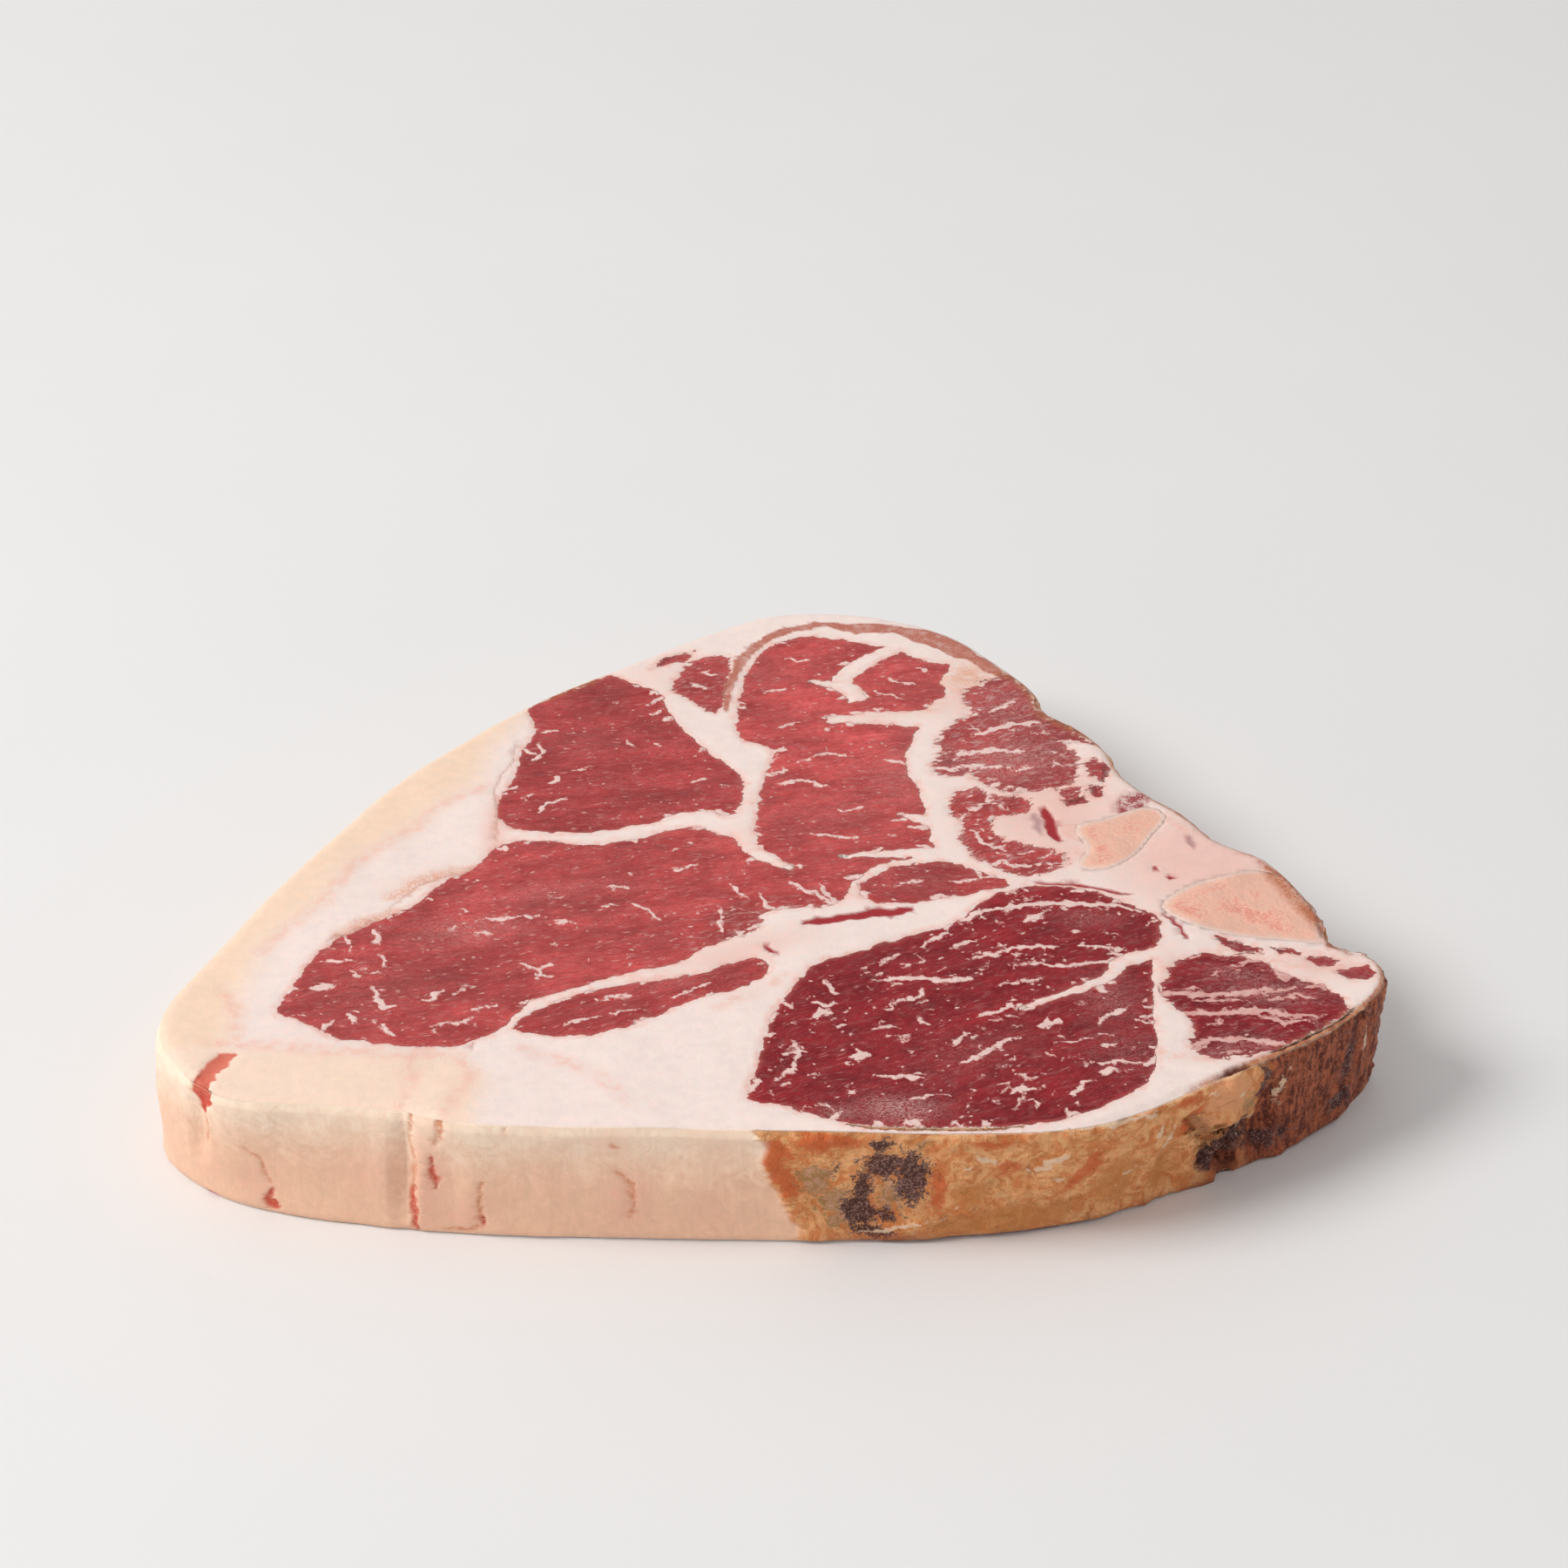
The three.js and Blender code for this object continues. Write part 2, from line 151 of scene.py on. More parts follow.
# %% Large streaks of fat, in mm: width, then points
STREAKS = [
    # tenderloin
    (1.5, [(20, -34.5), (25, -33), (31, -32.8), (36, -34.5), (42, -33.5)]),
    (1.3, [(50, -28.5), (62, -29), (72, -27), (80, -24)]), (1.4, [(42, -47), (48, -44.5), (58, -41)]),
    (1.2, [(38, -63), (46, -56.5), (50, -53.5)]), (1.1, [(21, -67), (31, -68)]),
    (1.6, [(14.5, -60.5), (19.5, -59.5)]), (1.2, [(17, -57.8), (17.2, -62.5)]),
    (1.5, [(7.2, -47.6), (9.4, -46.2), (12, -45.4)]), (1.1, [(9, -44.6), (9.6, -47.8)]),
    (1.2, [(8, -41.5), (11, -43.5), (13, -42)]), (1.2, [(0, -68.5), (4, -65), (5, -59), (3, -55)]),
    (1.0, [(2, -59.5), (7, -58.6)]), (1.0, [(37, -57), (40, -51.5)]),
    (1.6, [(47.6, -72.2), (50.6, -71.2), (53.6, -71.4)]), (1.2, [(50, -69.4), (51, -73)]),
    (1.4, [(60, -74), (63, -69)]), (1.5, [(67, -48), (74, -43.5)]),
    (1.5, [(54.4, -50.6), (57, -49.4), (59.8, -49.2)]), (1.1, [(56.4, -47.8), (57.2, -51)]),
    (1.3, [(41, -27), (51, -22.5), (61, -22)]), (1.1, [(37, -22.5), (45, -18)]), (1.2, [(53, -13.5), (60, -9)]),
    (1.2, [(31, -22), (37, -16.5)]), (1.1, [(64, -21.5), (75, -23)]), (1.1, [(25, -42), (31, -38.5), (31, -36.5)]),
    (1.0, [(10, -34), (13, -39.5)]), (1.2, [(29, -47.5), (32, -49.5)]), (1.2, [(65, -63), (75, -62.5)]),
    (1.0, [(52, -75), (53, -77.5)]), (1.2, [(9, -76.5), (12, -78)]), (1.0, [(1.5, -41), (4, -44.5)]),
    (1.5, [(66, -66.5), (70, -64.5)]), (1.0, [(22, -28), (27, -24.5)]), (0.9, [(46, -37), (52, -34.5), (57, -34)]),
    (0.9, [(20, -51), (27, -50)]), (0.9, [(60, -56), (66, -54.5)]), (0.9, [(27, -74), (33, -73)]),
    (1.7, [(40, -12.5), (46, -8.4), (54, -6.6), (63, -6.1), (74, -6.8), (80, -9)]),
    # rump muscle
    (1.1, [(-64, -12), (-58, -10.8), (-51, -11.2)]), (0.9, [(-48, -12.5), (-42, -13.5)]),
    (0.9, [(-33, -4), (-27, -8.5), (-25, -12)]), (1.5, [(-4, -2.1), (-1.6, -6.3), (1.9, -10), (4.9, -12.4)]),
    (1.2, [(3.1, 2.5), (5.7, -0.4), (9.1, -2.1), (12, -5.6)]), (1.2, [(9.7, 2.1), (11.4, -2.5), (15, -6.3)]),
    (0.9, [(-12.8, -5.8), (-11.5, -10.8), (-11.7, -16.5)]), (1.2, [(-8.7, -16.1), (-4.9, -14.9), (-0.4, -12.4)]),
    (1.3, [(15.7, -5.8), (17.7, 0.4), (19, 5.1)]), (0.8, [(-38, -6.5), (-34, -6)]),
    (1.0, [(-92.5, -18), (-91, -23.5)]), (1.2, [(-86, -16), (-85, -22)]), (1.1, [(-84.5, -25), (-83, -30)]),
    (1.0, [(-90, -30), (-88, -34)]), (0.9, [(-97, -27.5), (-89, -27.5)]),
    (1.3, [(-85, -36), (-82, -44), (-79, -43.5)]), (1.2, [(-75, -41.5), (-72, -41), (-70, -36.5)]),
    (1.0, [(-68, -39), (-65, -36.5)]), (0.9, [(-64, -44), (-57, -43)]), (1.3, [(-54, -28), (-50, -30), (-50, -34)]),
    (1.2, [(-50, -29), (-47, -27.5)]), (1.1, [(-51, -32), (-47, -33)]), (1.5, [(-89.5, -46), (-86.5, -49.5)]),
    (1.6, [(-82, -50), (-79, -54)]), (1.0, [(-10, 3), (-8, -2), (-6, -4)]), (0.9, [(-23, 7), (-17, 9.5)]),
    (0.8, [(-37, 1.5), (-32, 0.5)]), (1.0, [(-98, -38), (-92, -36)]), (1.0, [(-72, -50), (-66, -49), (-62, -47)]),
    (1.1, [(0, 42), (6, 43.5), (12, 41)]), (0.9, [(6, 52), (12, 55), (17, 54)]), (0.9, [(14, 31), (20, 32.5)]),
    (1.0, [(8, 22), (15, 20), (19, 20.5)]), (0.9, [(0, 66), (6, 69)]), (1.0, [(-3, 82), (2, 84.5)]),
    (1.0, [(24, 82.5), (31, 79)]), (0.9, [(27, 88), (34, 86)]), (1.2, [(33, 94), (37, 91)]),
    (1.0, [(2, 98), (8, 97)]),
    # rump cap muscle
    (2.2, [(-52, 41.5), (-49.5, 44.5)]), (1.3, [(-54, 30), (-52, 34), (-47, 36)]), (1.0, [(-47, 47), (-43, 49)]),
    (1.1, [(-35, 61), (-33, 58)]), (0.9, [(-28, 60), (-27, 57.5)]), (0.9, [(-30, 72), (-27, 73.5)]),
    (1.2, [(-55.5, 60), (-54, 55), (-56, 51.5)]), (1.2, [(-55, 64), (-51, 65)]), (1.2, [(-57, 35), (-55, 39)]),
    (0.9, [(-20, 43), (-16, 45)]),
    # rump edge muscle
    (0.9, [(-44, -50), (-36, -46), (-27, -44.5)]), (1.0, [(-38, -41), (-30, -39)]),
    (0.9, [(-22, -40), (-14, -35.5)]),
    # loin eye muscle and hook
    (1.4, [(42, 54), (50, 56.5), (58, 56)]), (1.8, [(47, 63), (55, 67.5), (63, 68.5)]), (1.4, [(50, 73), (57, 78)]),
    (1.2, [(41, 48.5), (47, 50), (54, 48.5)]), (1.2, [(44, 31), (47, 34), (52, 34.2)]),
    (1.3, [(44, 23), (46.5, 18), (51, 14.5)]), (1.0, [(50, 9.5), (56, 8.4), (60, 10)]),
    # side muscle
    (1.5, [(79, -37.5), (86, -38.8), (92, -38.6), (99, -38.8), (104, -37.6), (110, -37)]),
    (5.0, [(104, -23), (107.8, -28), (108, -34)]),
    (0.9, [(87, -41), (95, -40.8), (100, -42)]), (1.0, [(104, -41), (110, -39.4), (114, -41)]),
    (1.8, [(80, -45.6), (86, -45.4), (94.5, -45), (101, -45), (108, -46.4), (115, -47.4)]),
    (1.6, [(84, -57.6), (90, -54.8), (97, -54.6), (103, -56.4), (108, -57)]), (1.0, [(91, -60), (97, -58.6)]),
    (1.4, [(101, -46), (106, -49), (111, -49.4)]),
    # seam and tip muscles
    (1.0, [(26, 1), (33, 3.5)]), (0.9, [(38, 2), (44, 3)]), (1.2, [(-21, 86), (-16, 84)]),
    (1.1, [(-19, 92), (-14, 90)]),
]
# Each muscle's grain in degrees, its flecks per square cm, their length and width in mm, how dark its lean is
# and how far its border frays, in mm.
CUT_LOOK = {
    "rump_muscle": (12, 1.6, 2.0, 0.45, 0.10, 1.0),
    "rump_cap_muscle": (8, 1.0, 2.0, 0.40, 0.34, 0.7),
    "rump_edge_muscle": (24, 1.2, 2.4, 0.45, 0.30, 1.2),
    "tenderloin_muscle": (24, 5.5, 1.9, 0.60, 0.92, 0.9),
    "loin_eye_muscle": (20, 3.4, 4.2, 0.60, 0.40, 3.6),
    "loin_hook_muscle": (26, 4.0, 2.4, 0.65, 0.25, 3.4),
    "seam_muscle": (4, 2.0, 2.4, 0.45, 0.34, 1.4),
    "side_muscle": (8, 2.0, 3.0, 0.60, 1.0, 2.2),
    "tip_muscle": (18, 4.0, 2.0, 0.60, 0.25, 2.4),
}

# %% Small flecks and spurs
SPURS_PER_MM = 0.15


def strew_flecks(seed=7):
    """Seeded short streaks inside every muscle, along its grain, some of them forked or star-shaped."""
    draw = random.Random(seed)
    flecks = []
    for node, (grain, per_cm2, length, width, _, _) in CUT_LOOK.items():
        edges = borders[node]
        low, high = edges.min((0, 1)), edges.max((0, 1))
        count = int(np.prod(high - low) / 100 * per_cm2)
        spots = np.array([[draw.uniform(low[i], high[i]) for i in (0, 1)] for _ in range(count)])
        for x, y in spots[depth_inside(spots, edges) > 0.8]:
            turn = math.radians(grain + draw.gauss(0, 20))
            reach = length * draw.choice((0.3, 0.4, 0.5, 0.7, 1.0, 1.5)) * draw.uniform(0.8, 1.2)
            bend = draw.uniform(-0.35, 0.35) * reach
            dx, dy = math.cos(turn) * reach / 2, math.sin(turn) * reach / 2
            middle = (x - dy / reach * bend, y + dx / reach * bend)
            thick = width * draw.uniform(0.6, 1.3)
            flecks.append((thick, [(x - dx, y - dy), middle, (x + dx, y + dy)]))
            for side in (-75, 70):
                if draw.random() < 0.2:
                    turn = math.radians(grain + side + draw.gauss(0, 15))
                    fork = reach * draw.uniform(0.3, 0.5)
                    tip = (middle[0] + math.cos(turn) * fork, middle[1] + math.sin(turn) * fork)
                    flecks.append((thick, [middle, tip]))
    return flecks


def strew_spurs(seed=11):
    """Seeded pointed spurs of fat that run from the borders into the lean, mostly along its grain."""
    draw = random.Random(seed)
    spurs = []
    for node, (grain, *_) in CUT_LOOK.items():
        edges = borders[node]
        for start, end in edges:
            if draw.random() > SPURS_PER_MM * np.linalg.norm(end - start):
                continue
            turn = math.radians(grain + draw.choice((0, 180)) + draw.gauss(0, 28))
            reach = draw.choice((1.6, 2.2, 3.0, 4.4)) * draw.uniform(0.7, 1.2)
            across = np.array((math.cos(turn), math.sin(turn)))
            root, tip = start - across * 1.2, start + across * reach
            if depth_inside(np.array([tip]), edges)[0] > 0.6:
                middle = (root + tip) / 2 + np.array((-across[1], across[0])) * draw.uniform(-0.4, 0.4)
                spurs.append((draw.uniform(0.9, 1.7), [tuple(root), tuple(start), tuple(middle), tuple(tip)]))
    return spurs


flecks = strew_flecks() + strew_spurs()
print("flecks", len(flecks), "and large streaks", len(STREAKS))

# %% Depth inside a set of tapering strokes
def stroke_depth(points, strokes, reach=2.0, taper=0.75):
    """How far inside the nearest stroke each point lies, in mm: negative outside, down to minus the reach."""
    depth = np.full(len(points), -reach)
    for width, route in strokes:
        route = np.array(route, float)
        low, high = route.min(0) - reach - width, route.max(0) + reach + width
        near = np.flatnonzero(((points > low) & (points < high)).all(1))
        if not len(near):
            continue
        steps = np.linalg.norm(np.diff(route, axis=0), axis=1)
        travelled, total = 0.0, max(steps.sum(), 1e-6)
        for start, end, step in zip(route[:-1], route[1:], steps):
            along = end - start
            share = np.clip((points[near] - start) @ along / max(step * step, 1e-9), 0, 1)
            gap = np.linalg.norm(points[near] - start - share[:, None] * along, axis=1)
            place = (travelled + share * step) / total
            half = width / 2 * (1 - taper + taper * np.sqrt(np.clip(4 * place * (1 - place), 0, 1)))
            depth[near] = np.maximum(depth[near], half - gap)
            travelled += step
    return depth


def blobs(points, spots):
    """Soft round stains, 1 in the middle: each is x, y, reach along, reach across, turn in degrees, strength."""
    total = np.zeros(len(points))
    for x, y, long_reach, short_reach, turn, strength in spots:
        c, s = math.cos(math.radians(turn)), math.sin(math.radians(turn))
        dx, dy = points[:, 0] - x, points[:, 1] - y
        along, across = (dx * c + dy * s) / long_reach, (dy * c - dx * s) / short_reach
        total = np.maximum(total, strength * np.exp(-(along**2 + across**2) * 1.4))
    return total


print("deepest streak at a fork", stroke_depth(np.array([[-50.0, -29.5]]), STREAKS).round(2))

# %% [markdown]
# ## Marks that are neither fat nor lean
# Blood, dried haze that is also painted sheen, the grey membrane round the far lobe and the brown crust of the rim are
# read off the photograph too, each as a few strokes or soft stains, and so are painted light and shade on the lean.

# %% Strokes and stains
EXTRA_LEAN = [
    [(113.2, -25.6), (117, -24.8), (120.6, -27.2), (119, -28.4), (116.5, -28.8)],
    [(119.0, -30.4), (122.2, -29.3), (126.6, -28.7), (127.6, -31.2), (126, -33.4), (121.7, -33.2), (120, -31.8)],
    [(-30, 93), (-22, 96.5), (-19.5, 102), (-27, 98.5)],
    [(-55, 77), (-49, 83), (-41, 88.5), (-36, 87), (-44, 80), (-53, 74)],
    [(94.5, -17.6), (98, -19.2), (104, -22.4), (104, -24), (99.6, -23.2), (96, -20.4)],
    [(106, -21.4), (112, -23), (113, -24.8), (108, -23.8)],
    [(71.4, 51), (73.9, 52.4), (77, 49.8), (75.8, 43.6), (73, 45.2)],
    [(72, 41.8), (74.8, 41.6), (74.8, 37), (72.2, 37.2)],
    [(64.4, 39.4), (69, 40.6), (70.6, 35), (66.6, 33.2)],
    [(48.8, 37), (57, 34.6), (56.6, 30.4), (49.4, 31)],
]
MEMBRANE = [
    (2.2, [(-11.6, 74), (-11.2, 85), (-9, 95), (-6, 102), (-1, 108.5), (5, 112), (12, 113.5), (18, 112)]),
    (3.6, [(12, 113.5), (20, 111.5), (29, 111), (36, 109)]),
    (6.5, [(31, 110), (38, 107), (43, 103), (48, 98.5)]), (3.4, [(46, 100), (50.5, 96), (53.5, 91)]),
]
RUST = [
    (3.4, [(51.5, 95), (55, 90.2), (59.4, 86.6), (61.8, 79.3), (63.2, 72.2), (67.6, 67.8), (73, 62.5), (77, 58.2)]),
    (3.6, [(107, 10), (113, 3), (117, -5), (118.6, -13), (119.6, -21), (123, -24)]),
    (2.2, [(77, 58), (79, 49), (85, 39), (93, 29), (98, 21), (107, 12)]), (2.0, [(-57, 78), (-50, 83.5), (-43, 88)]),
    (2.0, [(84, -72), (96, -64), (108, -56.6), (118, -48.6), (126, -40)]),
]
CURDY = [(46, 90, 8, 7, 20, 1.0), (46, 60, 8, 2.2, 30, 0.8), (34, 75, 10, 3, 8, 0.7), (-78, 3, 9, 3, 35, 0.5)]
MARROW = [(6.5, [(79, 29.5), (81.5, 35), (84.5, 37.6)])]
PEACHY = [
    (95, 8, 34, 24, -40, 1.0), (62, 30, 26, 30, 0, 0.85), (50, 80, 24, 22, 0, 0.6), (116, -28, 14, 8, 0, 0.7),
    (22, 60, 12, 30, 0, 0.5), (-63, 22, 4, 20, 0, 0.8), (-20, 16, 34, 8, 16, 0.55), (84, -30, 7, 16, 0, 0.5),
    (-8, -24, 24, 7, 24, 0.7), (30, 0, 30, 5, 10, 0.6), (-30, 90, 20, 12, 40, 0.4), (-98, -52, 16, 8, 0, 0.25),
]
FEATHERY = [(-9, -14, 14, 11, 10, 2.6), (4, -6, 10, 5, 0, 2.0), (20, 40, 5, 14, 0, 1.6), (-12, 30, 5, 22, -20, 1.6)]
# Painted light and shade on the lean: LIT spots lighten it, SHADED spots darken it.
LIT = [(14, 60, 36, 50, 0, 1.4), (40, 92, 20, 16, 0, 0.9), (-30, -8, 26, 12, 10, 0.15)]
SHADED = [(-78, -38, 22, 14, 20, 1.0), (60, 62, 18, 14, 30, 1.0), (62, 24, 14, 12, 0, 0.5)]
BLOOD = [
    (2.6, [(61, 32), (61.8, 26), (63, 19.5)]),
    (2.9, [(6, -13.6), (11, -12.2), (17, -10.3), (23, -8.9), (30, -7.8)]),
    (0.8, [(57, 2.2), (66, 1.2), (73, -1), (77.4, -2.7)]),
    (0.8, [(84.4, -10), (87.4, -14.4), (88.7, -18.8)]),
    (1.1, [(83.4, 8.6), (84.2, 8)]), (1.3, [(86.3, 4), (87.4, 3.6)]),
    (0.7, [(101, -47.6), (102, -47)]), (0.9, [(-2, -22.3), (0.2, -24.2)]),
]
BRUISE = [(1.8, [(92.6, 20.4), (93.2, 15.8)]), (1.6, [(58.8, 30), (59.2, 22)])]
PINK_SEAMS = [
    (1.6, [(-117, -56.5), (-112, -57), (-100, -58), (-88, -59.4), (-75, -60.2), (-65, -59.7)]),
    (1.6, [(-65, -59.7), (-62, -66), (-64, -72), (-66, -79)]),
    (1.4, [(-74, -60), (-74.5, -64), (-74, -71), (-75.5, -78)]),
    (1.2, [(-52, -58), (-42, -63), (-35, -68), (-30, -75)]),
    (1.5, [(-109.8, -24), (-105.4, -15), (-98.6, -6), (-94.8, 6), (-90, 14), (-83, 22), (-76, 33), (-66, 41)]),
    (1.2, [(-117, -37), (-113, -44), (-111, -54)]), (1.4, [(-12, -44), (-4, -38), (2, -33)]),
    (1.6, [(68, 13), (66.4, 20), (65.6, 27)]), (1.4, [(86, 31), (90, 26), (92.5, 19.5)]),
    (1.4, [(80, -60), (88, -61), (94, -62.6)]), (1.2, [(92, -22), (104, -26), (114, -30)]),
]
DARK_LINES = [
    # This first line runs along the slit by the crust fold, and its darker colour is painted shade in the slit.
    (0.9, [(81.5, -75.2), (85.1, -72.4), (89.3, -69.2), (92.5, -66.8), (95.4, -64.4), (99.9, -63.7)]),
    (0.3, [(-61, 60), (-60.5, 52), (-63, 45), (-64.6, 38), (-62.6, 28), (-62.4, 19)]),
    (0.25, [(-67, 8), (-74, 3.5), (-79, 0), (-84, -8)]),
    (0.25, [(-86, -12), (-92, -17), (-96, -20)]),
    (0.5, [(-62, -55.2), (-62.4, -58)]),
]
TORN = [(3.4, [(-66, 9), (-73, 5.6), (-79, 1.4), (-84.5, -4.5)]), (3.0, [(-82, -8.7), (-89, -13.4), (-94.5, -18.5)])]
# Spots of dried haze on the lean, painted paler also as the sheen of light reflected off its wet fibres.
HAZE_AND_SHEEN = [
    (-66, -16, 16, 6, 12, 0.85), (-50, -2, 18, 5, 10, 0.45), (-84, -38, 14, 8, 30, 0.25),
    (25, -77.6, 9, 4.4, 0, 2.6), (14, -79, 6, 2.4, 0, 1.6), (70, -40, 7, 10, 0, 0.9), (68, -11.5, 8, 4, 0, 0.8),
    (72, -58, 9, 10, 20, 0.5), (40, -60, 18, 8, 25, 0.35), (28, 46, 6, 16, 0, 0.6), (54, 52, 18, 11, 20, 1.4),
    (54, 76, 12, 14, 30, 0.9), (36, 60, 8, 18, 0, 0.6), (-44, 60, 10, 6, 10, 0.25), (98, -31.4, 8, 2.6, -8, 1.2),
    (93, -58.4, 7, 2.4, 10, 0.9), (104, -38, 13, 5, -8, 1.2), (98, -56, 9, 4, 0, 0.9), (120, -29, 5, 3, 0, 0.7),
    (30, 2, 12, 4, 4, 0.35), (-24, -34, 10, 4, 24, 0.35), (-4, 92, 6, 10, 60, 0.25), (12, 30, 14, 8, 12, 0.3),
]
print("blood marks", len(BLOOD), "seams", len(PINK_SEAMS), "haze_and_sheen_spots", len(HAZE_AND_SHEEN))

# %% [markdown]
# ## Unrolling the wall
# The rim is a long band of fat and crust. Its marks are easy to place once it is unrolled like a ribbon: each
# point of the wall gets its distance along the wall, counted from the middle of the front, and its height.
# The outline is read from the fat's solid as one reach for every degree round the middle.

# %% Distance along the wall
def rim_points():
    """The angles from -180 to 180 degrees, 0 towards the camera, and the rim's point at each of them, in mm."""
    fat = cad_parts["fat"].data
    spots = np.array([vertex.co[:2] for vertex in fat.vertices]) / MM
    edges = spots[np.array([edge.vertices[:] for edge in fat.edges])]
    start, run = edges[:, 0], edges[:, 1] - edges[:, 0]
    edges_seen = abs(run).max(1) > 1e-6
    start, run = start[edges_seen], run[edges_seen]
    turns, points = np.radians(np.arange(-180, 181)), []
    for turn in turns:
        ray = np.array((math.sin(turn), -math.cos(turn)))
        crossing = run[:, 0] * ray[1] - run[:, 1] * ray[0]
        crossing[abs(crossing) < 1e-9] = 1e-9
        share = -(start[:, 0] * ray[1] - start[:, 1] * ray[0]) / crossing
        met = (share >= 0) & (share <= 1)
        points.append(ray * ((start + share[:, None] * run)[met] @ ray).max())
    return turns, np.array(points)


TURNS, RIM = rim_points()
RIM_EDGES = loop_edges(RIM[:-1])
RIM_LENGTH = np.concatenate([[0], np.cumsum(np.linalg.norm(np.diff(RIM, axis=0), axis=1))])
RIM_LENGTH -= RIM_LENGTH[180]


def along_rim(points):
    """Distance along the rim in mm for each point: 0 at the middle of the front, positive to the right."""
    return np.interp(np.arctan2(points[:, 0], -points[:, 1]), TURNS, RIM_LENGTH)


print("the rim runs from", RIM_LENGTH[0].round(), "to", RIM_LENGTH[-1].round(), "mm")

# %% [markdown]
# The front wall has its own map. Smooth cream fat lies on the left, with cracks that show red lean. The right
# half is the dried crust, tan and orange, with two dark spots, a few pale flakes and a fold over a cleft in painted
# shade.

# %% Marks on the wall: distance along the rim and height, in mm
WALL_RED = [
    (1.5, [(-75.2, 12), (-75.0, 8), (-74.4, 4), (-73.6, 0)]), (1.0, [(-70.4, 19.6), (-70.2, 16), (-69.4, 12)]),
    (1.6, [(-107.6, 2.8), (-105.6, 5.6), (-105.2, 6.4)]), (2.2, [(-107.4, 3), (-103.4, 2.2)]),
    (0.9, [(-60.4, 5.4), (-59.8, 3.4)]),
]
WALL_RUST = [
    (0.9, [(-72.8, 33.4), (-74.8, 30.8), (-75.2, 27), (-75.6, 21)]), (0.8, [(-75.6, 21), (-75.0, 15.5), (-75.2, 12)]),
    (1.3, [(-67.8, 29.4), (-68.2, 26), (-68.8, 23.4)]), (0.7, [(-60.3, 14), (-60.6, 9.5), (-59.8, 4.4)]),
    (1.2, [(-68, 1.2), (-64, 1.6), (-60, 2.6)]), (0.6, [(-118.4, 21.5), (-119.1, 15.3)]),
    (0.8, [(-33.4, 25.3), (-32.8, 24.6)]), (0.7, [(-32.3, 18.3), (-30, 17.6), (-28.8, 15.6), (-29, 11), (-29.6, 6.1)]),
    (0.6, [(-54.4, 28.8), (-54, 28.2)]), (0.6, [(-111, 16.8), (-106.6, 14), (-105.6, 8)]),
]
NOTCH_TOP = [(-110.1, -59.4), (-113.3, -59.0), (-115.9, -62), (-117.6, -65.8), (-119.4, -69.6), (-115.2, -71),
             (-113.9, -66.3), (-112.1, -63.2)]
NOTCH_WALL = [(-121.4, 34), (-121.1, 25.6), (-120.4, 22.4), (-119, 21), (-117.9, 24.6), (-117, 27.7), (-115.6, 34)]
CRUST_EDGE = [(-9, 34), (-4, 29), (-2.2, 26.5), (-3.3, 23), (-0.6, 15.3), (2.1, 9.7), (5.5, 4.1), (7, -4)]
WALL_PINK = [
    (-71, 14, 5, 16, 0, 0.9), (-64, 6, 7, 7, 0, 0.7), (-108, 8, 8, 7, 0, 0.6), (-30, 12, 6, 9, 0, 1.0),
    (-33, 25, 5, 4, 0, 0.5), (-120, 10, 4, 10, 0, 0.5), (-12, 25, 7, 5, 0, 0.35), (-84, 14, 7, 10, 0, 0.5),
    (-46, 18, 7, 9, 0, 0.3), (-14, 8, 6, 8, 0, 0.3), (-132, 14, 6, 14, 0, 0.3),
]
ORANGE = [
    (-1, 24, 5, 4, 0, 1.1), (2, 17, 3.4, 8, 24, 0.9), (10, 27, 9, 3, 0, 1.0), (33, 15, 2.6, 12, 0, 0.8),
    (44, 27, 8, 2.4, 0, 0.7), (47, 20, 7, 4, 20, 0.6), (63, 17, 2.6, 10, -30, 0.9), (67, 23, 5, 4, 0, 0.5),
    (88, 22, 2.6, 8, -20, 0.8), (115, 27, 9, 3, 0, 0.8), (86, 28.6, 5, 1.6, 0, 0.8),
]
PURPLE = [
    (21, 27, 4, 2.6, 0, 0.9), (21.6, 21, 5, 4.4, 0, 1.2), (27.4, 18, 4.2, 8, 0, 1.3), (17.6, 15, 2.8, 6, 0, 1.0),
    (17.4, 8.6, 4.2, 5, 0, 1.3), (22.8, 7.6, 3, 3.6, 0, 1.0), (20, 3.4, 6, 2.2, 0, 1.0), (12, 20, 3, 3, 0, 0.45),
    (98, 9, 5, 7, -20, 1.0), (104, 12, 4.4, 6, 0, 1.0), (107.6, 24, 1.6, 7, 0, 0.9),
    (133, 18, 2.6, 12, -6, 0.8), (131.4, 8, 4, 4, 0, 1.0), (113, 6, 10, 3.4, 0, 0.7),
]
GREY = [(8, 17, 5, 5, 0, 1.0), (12, 12, 5, 5, 0, 0.9), (24, 13, 5, 10, 0, 0.7), (13, 7, 4, 4, 0, 0.8),
        (29, 27, 4, 2, 0, 0.6), (104, 20, 3, 4, 0, 0.8), (120, 22, 5, 7, 0, 0.5)]
